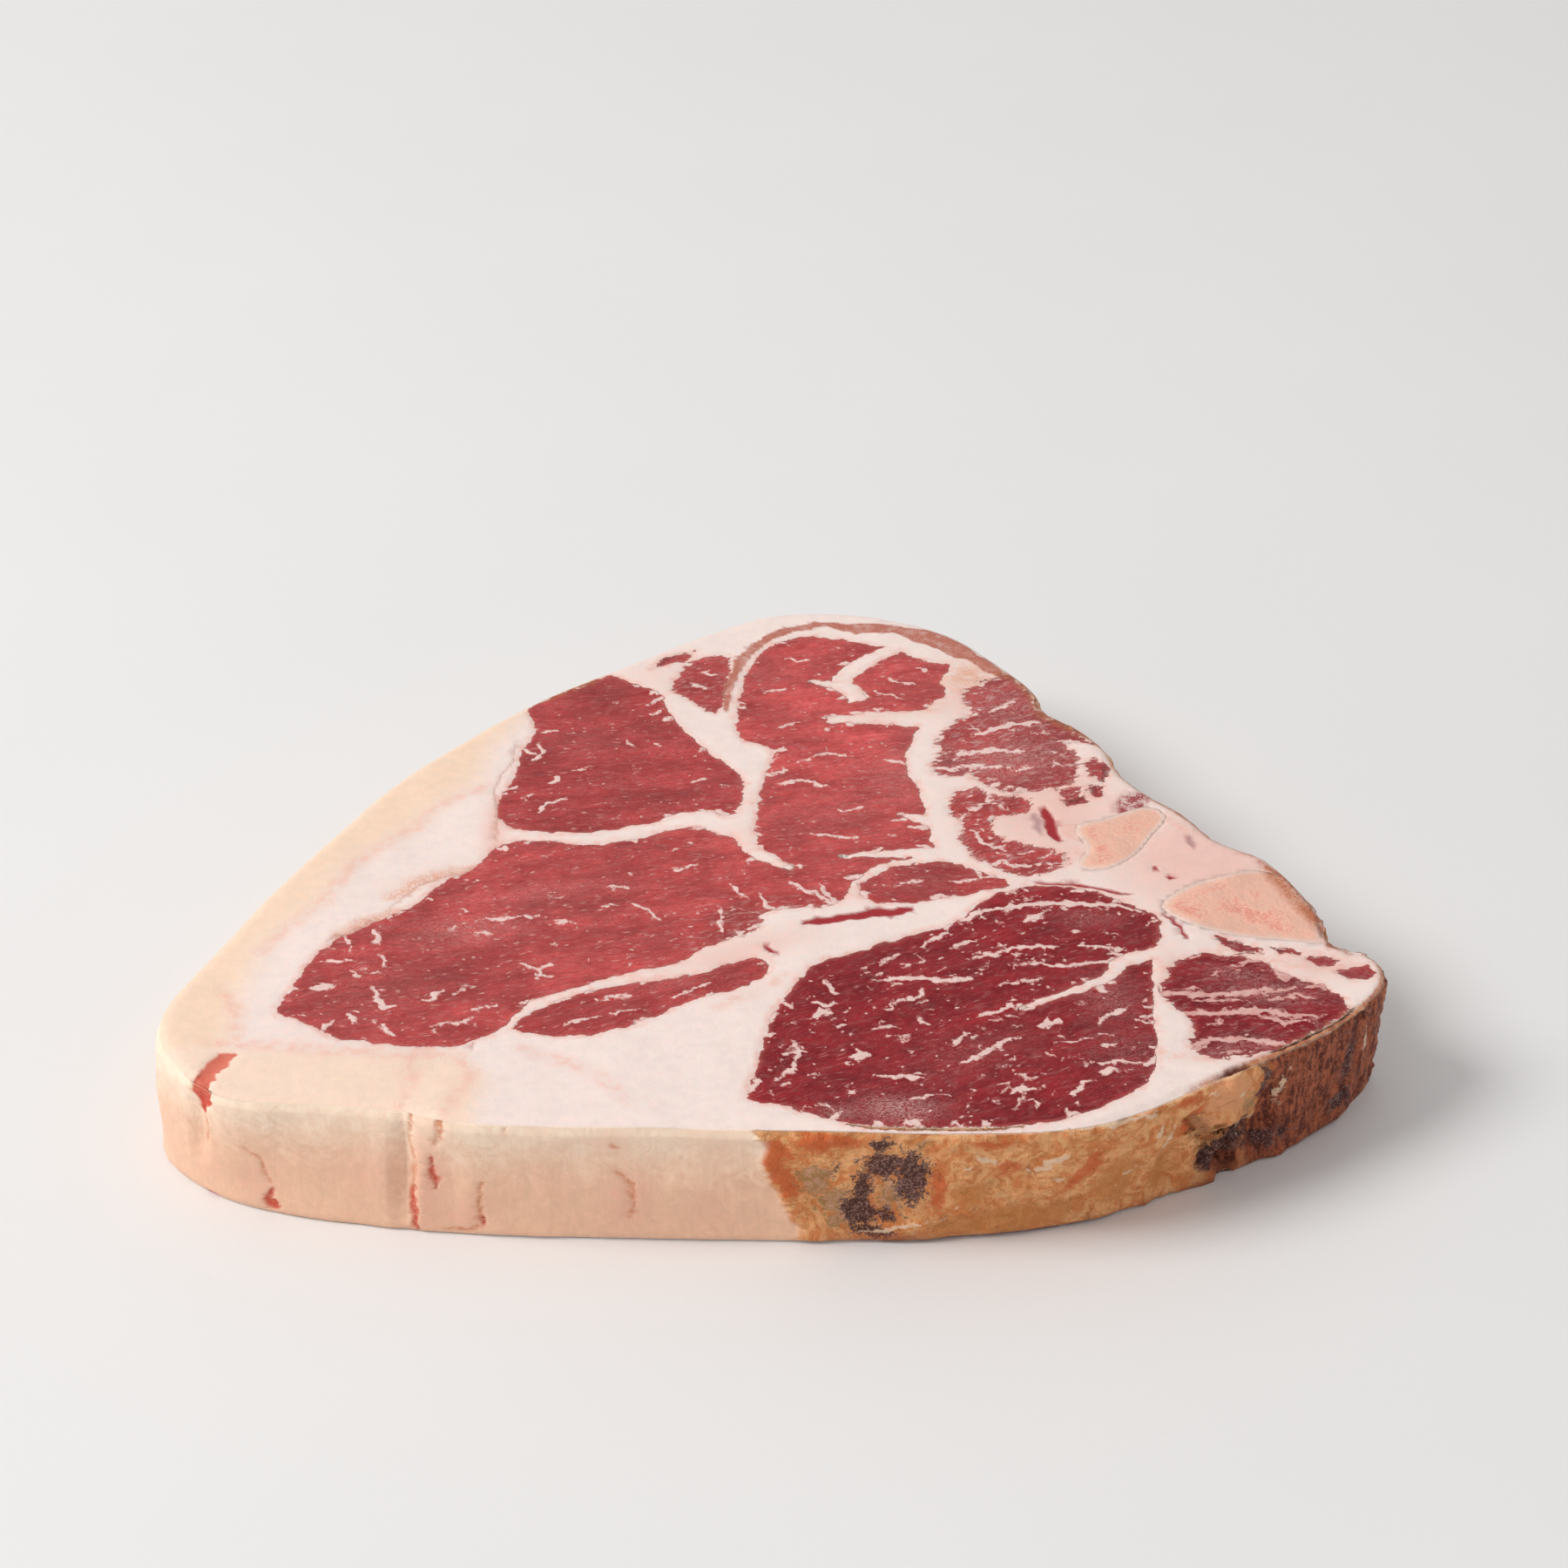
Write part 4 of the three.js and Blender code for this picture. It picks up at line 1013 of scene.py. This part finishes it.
def specks(where, size, softness, rarity):
    """One speck in each cell whose random number is over the rarity, larger where that number is."""
    number = tissue.node("ShaderNodeSeparateColor", {}, {0: tissue.cells(where, 1.0, "Color")})
    return fade(tissue.cells(where, 1.0) - number * size, 0.02, -softness) * fade(number, rarity, rarity + 0.05)


is_flake = specks(along_grain * (0.30, 1.25, 0.5) + ragged * 0.9, 0.30, 0.08, 0.55)
is_dot = specks(along_grain * (0.40, 0.55, 0.4) + ragged * 0.5, 0.20, 0.06, 0.5)
print("borders of lean ready")

# %% [markdown]
# The lean's red is lightened and darkened by painted light and shade, and made uneven by four patterns. Pale
# strands, specks, dried haze with painted sheen, and painted glints for the gloss of wet fibres lie over it.

# %% Colour of the lean
LEAN, DARK_LEAN, BLEACHED = (0.535, 0.078, 0.074), (0.240, 0.006, 0.013), (0.60, 0.33, 0.30)
VEIN, PALE_VEIN = (0.74, 0.36, 0.32), (0.90, 0.66, 0.60)
# Painted light and shade: the lean is lightened under LIT spots and darkened under SHADED ones.
lean_colour = mix(dark, LEAN, DARK_LEAN) * (read("painted_light_and_shade") + 1.0)
for pattern, least, most in [(broad, 0.84, 1.14), (muscle_tone, 0.82, 1.16), (fibre, 0.80, 1.16), (thread, 0.84, 1.14)]:
    lean_colour = lean_colour * fade(pattern, 0.3, 0.7, least, most)
strand = fade(ragged + (thread - 0.5) * 0.3, 0.50, 0.68) * fade(fray, 0.8, 4.0, 0.14, 0.75)
# Pale dried haze on the lean, which also paints a sheen where light reflects off the wet fibres.
frost_and_sheen = read("haze_and_sheen") * fade(thread + fine, 0.85, 1.25)
# Painted glints: small highlights of the wet fibres painted into the lean's colour, more of them where the haze is.
painted_glint_share = fade(muscle_tone, 0.46, 0.64, 0.12, 0.75) + read("haze_and_sheen") * 0.5
painted_glint = fade(glint, 0.60, 0.70) * fade(dark, 0.3, 0.9, 1.0, 0.45) * painted_glint_share
lean_colour = coats(
    lean_colour,
    (fade(soft, 0.40, 0.70, 0.0, 0.35), (0.40, 0.026, 0.030)),
    (strand, BLEACHED),
    (is_flake * fade(dark, 0.3, 0.9, 0.5, 0.28), VEIN),
    (is_dot * fade(dark, 0.0, 1.0, 0.6, 0.95), (0.80, 0.50, 0.45)),
    (fade(depth, 1.2, 0.0, 0.0, 0.34), (0.62, 0.16, 0.14)),
    # dried haze with painted sheen
    (frost_and_sheen * 0.6, BLEACHED),
    # painted glints
    (painted_glint, (0.78, 0.46, 0.44)),
)
vein_colour = coats(
    VEIN,
    (fade(streak, -0.15, 0.25), PALE_VEIN),
    (fade(dark, 0.93, 1.0) * fade(soft, 0.3, 0.6, 0.9, 0.5), (0.72, 0.33, 0.29)),
)
print("lean ready")

# %% [markdown]
# Fat is matt, pinkish where lean has bled into it, and yellower outside.

# %% Colour of the fat
FAT, CREAM, PEACH = (0.90, 0.745, 0.685), (0.92, 0.672, 0.505), (0.87, 0.56, 0.485)
fat_colour = coats(
    FAT,
    (read("cream") + (soft - 0.5) * 0.3, CREAM),
    (fade(read("peach") + (soft - 0.5) * 0.5, 0.0, 1.0), PEACH),
)
fat_colour = coats(
    fat_colour * fade(soft, 0.25, 0.75, 0.965, 1.03),
    (fade(depth, -2.2, 0.0) * fade(soft, 0.35, 0.7, 0.2, 0.85), (0.84, 0.46, 0.39)),
    (read("seam") * fade(soft, 0.35, 0.65, 0.1, 0.6), (0.84, 0.47, 0.38)),
    (read("curd") * fade(fine + soft, 0.8, 1.15, 0.2, 0.9), (0.76, 0.40, 0.26)),
    (read("torn") * fade(fine, 0.42, 0.60, 0.25, 0.85), (0.76, 0.36, 0.24)),
)
print("fat ready")

# %% [markdown]
# The cut face is fat, then lean, then streaks, and over them the membrane, blood and dried marks.

# %% Colour of the cut face
rind_colour = mix(fade(soft, 0.35, 0.65), (0.66, 0.30, 0.15), (0.46, 0.14, 0.07))
cut_colour = coats(
    fat_colour,
    (is_lean, lean_colour),
    (is_vein * is_lean * 0.94, vein_colour),
    (fade(read("membrane"), 0.0, 0.6) * fade(fine + soft, 0.7, 1.1, 0.65, 1.0), (0.50, 0.165, 0.115)),
    (read("rust") * fade(fine + soft, 0.75, 1.1, 0.35, 0.95), (0.46, 0.135, 0.062)),
    (read("marrow") * fade(fine + soft, 0.85, 1.1, 0.25, 0.95), (0.34, 0.05, 0.055)),
    (read("bruise") * 0.6, (0.30, 0.12, 0.15)),
    (read("blood") * 0.98, (0.36, 0.011, 0.020)),
    (read("line") * 0.55, (0.42, 0.13, 0.08)),
    (fade(read("rind") + (fine - 0.5) * 0.9, 0.25, 0.65, 0.0, 0.85), rind_colour),
    # painted shade in the slit
    (read("slit"), (0.12, 0.028, 0.016)),
)
print("cut face ready")

# %% [markdown]
# The wall is a second picture over the same skin. On the left it is fat, pinker in places and cracked.

# %% Colour of the wall's fat
WALL_FAT, WALL_TOP_CREAM_AND_HIGHLIGHT, WALL_PINK_FAT = (0.88, 0.555, 0.385), (0.97, 0.755, 0.59), (0.84, 0.46, 0.34)
lump = tissue.noise(spot, 0.22, 5.0, 0.62, 1.6)
mottle = tissue.noise(spot, 0.9, 4.0, 0.7, 0.8)
upright = tissue.noise(spot * (1.0, 1.0, 0.16), 0.8, 4.0, 0.65, 0.5)
across = tissue.noise(spot * (0.35, 0.35, 0.9), 0.6, 4.0, 0.65, 1.0)
level = tissue.node("ShaderNodeSeparateXYZ", {}, {0: spot}, 2)
wall_colour = coats(
    WALL_FAT,
    # The upper wall grows lighter towards the top: creamier fat near the rim, and a painted highlight.
    (fade(level + (lump - 0.5) * 16.0, 13.0, 31.0), WALL_TOP_CREAM_AND_HIGHLIGHT),
    (read("pink") * fade(lump, 0.36, 0.62, 0.35, 1.0), WALL_PINK_FAT),
)
wall_colour = coats(
    wall_colour * fade(lump, 0.3, 0.7, 0.95, 1.05) * fade(upright, 0.3, 0.7, 0.97, 1.03),
    (read("crack") * fade(mottle, 0.36, 0.6, 0.2, 0.85), (0.66, 0.25, 0.12)),
    (read("red") * fade(mottle, 0.3, 0.55, 0.55, 0.95), (0.60, 0.08, 0.045)),
)
print("wall fat ready")

# %% [markdown]
# The crust is layered: tan over orange, broken by grey, by dark spots and by pale curls of fat. Each layer's
# edge is ragged, because a fine noise decides where it ends.

# %% Colour of the crust
TAN, LIGHT_TAN, GOLDEN = (0.76, 0.26, 0.085), (0.97, 0.50, 0.225), (0.67, 0.26, 0.078)
ORANGE_BROWN, BARK, FOLD_TAN = (0.68, 0.125, 0.034), (0.36, 0.10, 0.036), (0.90, 0.41, 0.20)
ASH, OLIVE, PALE_CURL = (0.60, 0.33, 0.22), (0.40, 0.23, 0.085), (0.93, 0.66, 0.46)
PLUM, STRAND, GRISTLE = (0.058, 0.019, 0.022), (0.13, 0.031, 0.020), (0.50, 0.14, 0.066)


def layer(name, strength, rough=1.0):
    """How much of a layer shows: its stored stain, with an edge that noise frays."""
    edge = read(name) + (mottle - 0.5) * 1.3 * rough + (lump - 0.5) * 0.8 * rough
    return fade(edge, 0.36, 0.60) * fade(read(name), 0.05, 0.25, 0.0, strength)


gristle = coats(
    STRAND,
    (fade(upright + (mottle - 0.5) * 0.5, 0.36, 0.62), GRISTLE),
    (fade(mottle, 0.56, 0.70, 0.0, 0.7), (0.50, 0.20, 0.10)),
)
crust_colour = coats(TAN, (fade(lump, 0.38, 0.60), LIGHT_TAN), (fade(across, 0.50, 0.66, 0.0, 0.7), GOLDEN))
crust_colour = coats(
    crust_colour * fade(mottle, 0.3, 0.7, 0.86, 1.13),
    (layer("gold", 0.8, 0.7), GOLDEN),
    (layer("orange", 0.8), ORANGE_BROWN),
    (fade(mottle + upright, 1.08, 1.30, 0.0, 0.6), BARK),
    (layer("grey", 0.85, 1.2), mix(fade(mottle, 0.44, 0.56), ASH, OLIVE)),
    (fade(read("mauve") + (lump - 0.5) * 0.8, 0.3, 0.7), gristle),
    (layer("purple", 0.95, 1.6), mix(fade(fine + mottle, 0.98, 1.16), PLUM, (0.33, 0.18, 0.15))),
    (layer("fold", 0.9, 0.5), FOLD_TAN),
    (layer("pale", 0.85, 0.9), PALE_CURL),
    (read("flange") * 0.8, (0.36, 0.085, 0.042)),
    # painted shade: the cleft below the fold is painted near black
    (read("cleft") * fade(mottle, 0.3, 0.6, 0.95, 0.55), (0.045, 0.014, 0.012)),
)
print("crust ready")

# %% [markdown]
# The pictures come together in one material. Lean is glossier than fat, and dried haze and crust are rougher.

# %% The whole skin
is_wall = fade(read("wall") + (fine - 0.5) * 0.3, 0.25, 0.6)
is_crust = is_wall * read("crust")
is_notch = fade(read("notch") + (fine - 0.5) * 0.2, 0.15, 0.65, 0.0, 0.95)
notch_colour = mix(fade(level + (lump - 0.5) * 6.0, 26.0, 30.5), (0.62, 0.05, 0.025), (0.70, 0.17, 0.11))
colour = coats(cut_colour, (is_wall, mix(read("crust"), wall_colour, crust_colour)), (is_notch, notch_colour))
roughness = 0.46 - is_lean * 0.12 + frost_and_sheen * 0.2 + is_crust * 0.04 + (fine - 0.5) * 0.2
height = is_lean * (fibre * 0.35 + thread * 0.14) + fine * 0.08 + soft * 0.08
height = height + is_crust * (lump + mottle * 0.5 + fine * 0.2)
skin_material = tissue.finish(
    colour, roughness, height,
    Subsurface_Weight=0.22, Subsurface_Scale=0.0016, Subsurface_Radius=(1.0, 0.42, 0.28), IOR=1.27,
)
skin.data.materials.clear()
skin.data.materials.append(skin_material)
print("finish of the soft tissue has", len(skin_material.node_tree.nodes), "nodes")

# %% [markdown]
# ## Bones
# Sawn bone shows its spongy inside: a pale peach web stained red by marrow, with a greyer, smoother rim. Each
# bone is a copy of its solid, fattened to meet the fat round it, and gridded as the skin is. It follows the same
# gentle sag, so that the saw's cut runs straight across bone and fat, and it stands a hair above the fat.

# %% Finish of the bones
BONE, BLUSH, RIND = (0.875, 0.50, 0.375), (0.76, 0.23, 0.165), (0.83, 0.58, 0.49)
bone = Finish("sawn bone")
bone_place = bone.place()
pores = bone.cells(bone_place, 0.9)
web = bone.noise(bone_place, 1.6, 4.0, 0.65)
patch = bone.noise(bone_place, 0.14, 4.0, 0.6)
core = bone.read("core")
bone_colour = bone.mix(bone.ramp(core + (web - 0.5) * 0.8, 0.2, 1.0), RIND, BONE)
bone_colour = bone.coats(
    bone_colour * bone.ramp(patch, 0.3, 0.7, 0.92, 1.08),
    (bone.ramp(web * 1.2 + patch * 1.6, 1.34, 1.66) * bone.ramp(core, 0.8, 3.0) * 0.75, BLUSH),
    (bone.ramp(web, 0.55, 0.7) * 0.3, (0.92, 0.66, 0.52)),
    (bone.read("flank") * bone.ramp(web + patch, 0.8, 1.1, 0.5, 1.0), (0.50, 0.15, 0.06)),
)
bone_material = bone.finish(
    bone_colour, 0.44 + (web - 0.5) * 0.2, pores * 0.10 * bone.ramp(core, 0.5, 2.0) + web * 0.12,
    Subsurface_Weight=0.18, Subsurface_Scale=0.0012, Subsurface_Radius=(1.0, 0.45, 0.3),
)
print("finish of the bones ready")

# %% Two sawn bones
BONE_PROUD = 0.2  # how far a bone stands above the fat, in mm


def sawn_bone(node):
    piece = copy_of(node, "sawn_" + node, swell=0.5)
    low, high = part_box(node)
    columns, rows = (int((high[i] - low[i]) / MM) + 6 for i in (0, 1))
    lay_grid(piece, spacing=1.0, columns=columns, rows=rows, middle=[(low[i] + high[i]) / 2 for i in (0, 1)])
    refine(piece, lambda c, n: abs(n[:, 2]) < 0.9)
    to_triangles(piece)
    points, normals = read_points(piece), read_normals(piece)
    on_plan = points[:, :2] + PLAN_CENTRE
    core_depth = depth_inside(on_plan, borders[node])
    face = ramp(normals[:, 2], 0.4, 0.8)
    web_relief = ramp(core_depth, 0.3, 2.0) * 0.12 * wobble(points, 1.6, 21, 3)
    points[:, 2] += face * (sag(points * (1, 1, 0)) + web_relief + BONE_PROUD)
    store(piece, "core", core_depth)
    store(piece, "flank", ramp(on_plan[:, 0] + 0.42 * on_plan[:, 1], 108.5, 111.5))
    set_points(piece, points, smooth_below=50)
    piece.data.materials.clear()
    piece.data.materials.append(bone_material)
    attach(piece, "root")
    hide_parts(node)
    print(piece.name, len(piece.data.polygons), "faces")


for node in BONES:
    sawn_bone(node)

# %% [markdown]
# ## Studio
# A pale matt floor fills the picture. One large soft lamp hangs high on the left, so the wall's shadow falls
# short and soft to the right, and an even white surround fills the front wall.

# %% Floor and light
bpy.ops.object.select_all(action="DESELECT")
bpy.ops.mesh.primitive_plane_add(size=8)
floor = bpy.context.object
floor.name = "floor"
ground = Finish("floor")
ground_place = ground.place()
ground_colour = ground.mix(ground.noise(ground_place, 0.01, 3.0), (0.80, 0.785, 0.775), (0.83, 0.815, 0.805))
ground_rough, ground_height = 0.6 + ground.noise(ground_place, 0.3) * 0.1, 0.02 * ground.noise(ground_place, 0.8)
floor.data.materials.append(ground.finish(ground_colour, ground_rough, ground_height))

world = bpy.data.worlds.new("studio")
bpy.context.scene.world = world
world.use_nodes = True
surround = world.node_tree.nodes["Background"]
surround.inputs["Color"].default_value = (1.0, 1.0, 1.0, 1.0)
surround.inputs["Strength"].default_value = 0.56
bpy.ops.object.light_add(type="AREA", location=(-1.9, -0.35, 1.85))
window = bpy.context.object
window.name = "window"
window.data.shape, window.data.size, window.data.energy = "DISK", 1.3, 48
window.rotation_euler = (-window.location).to_track_quat("-Z", "Y").to_euler()
bpy.context.scene.view_settings.view_transform = "Standard"
print("floor and light ready")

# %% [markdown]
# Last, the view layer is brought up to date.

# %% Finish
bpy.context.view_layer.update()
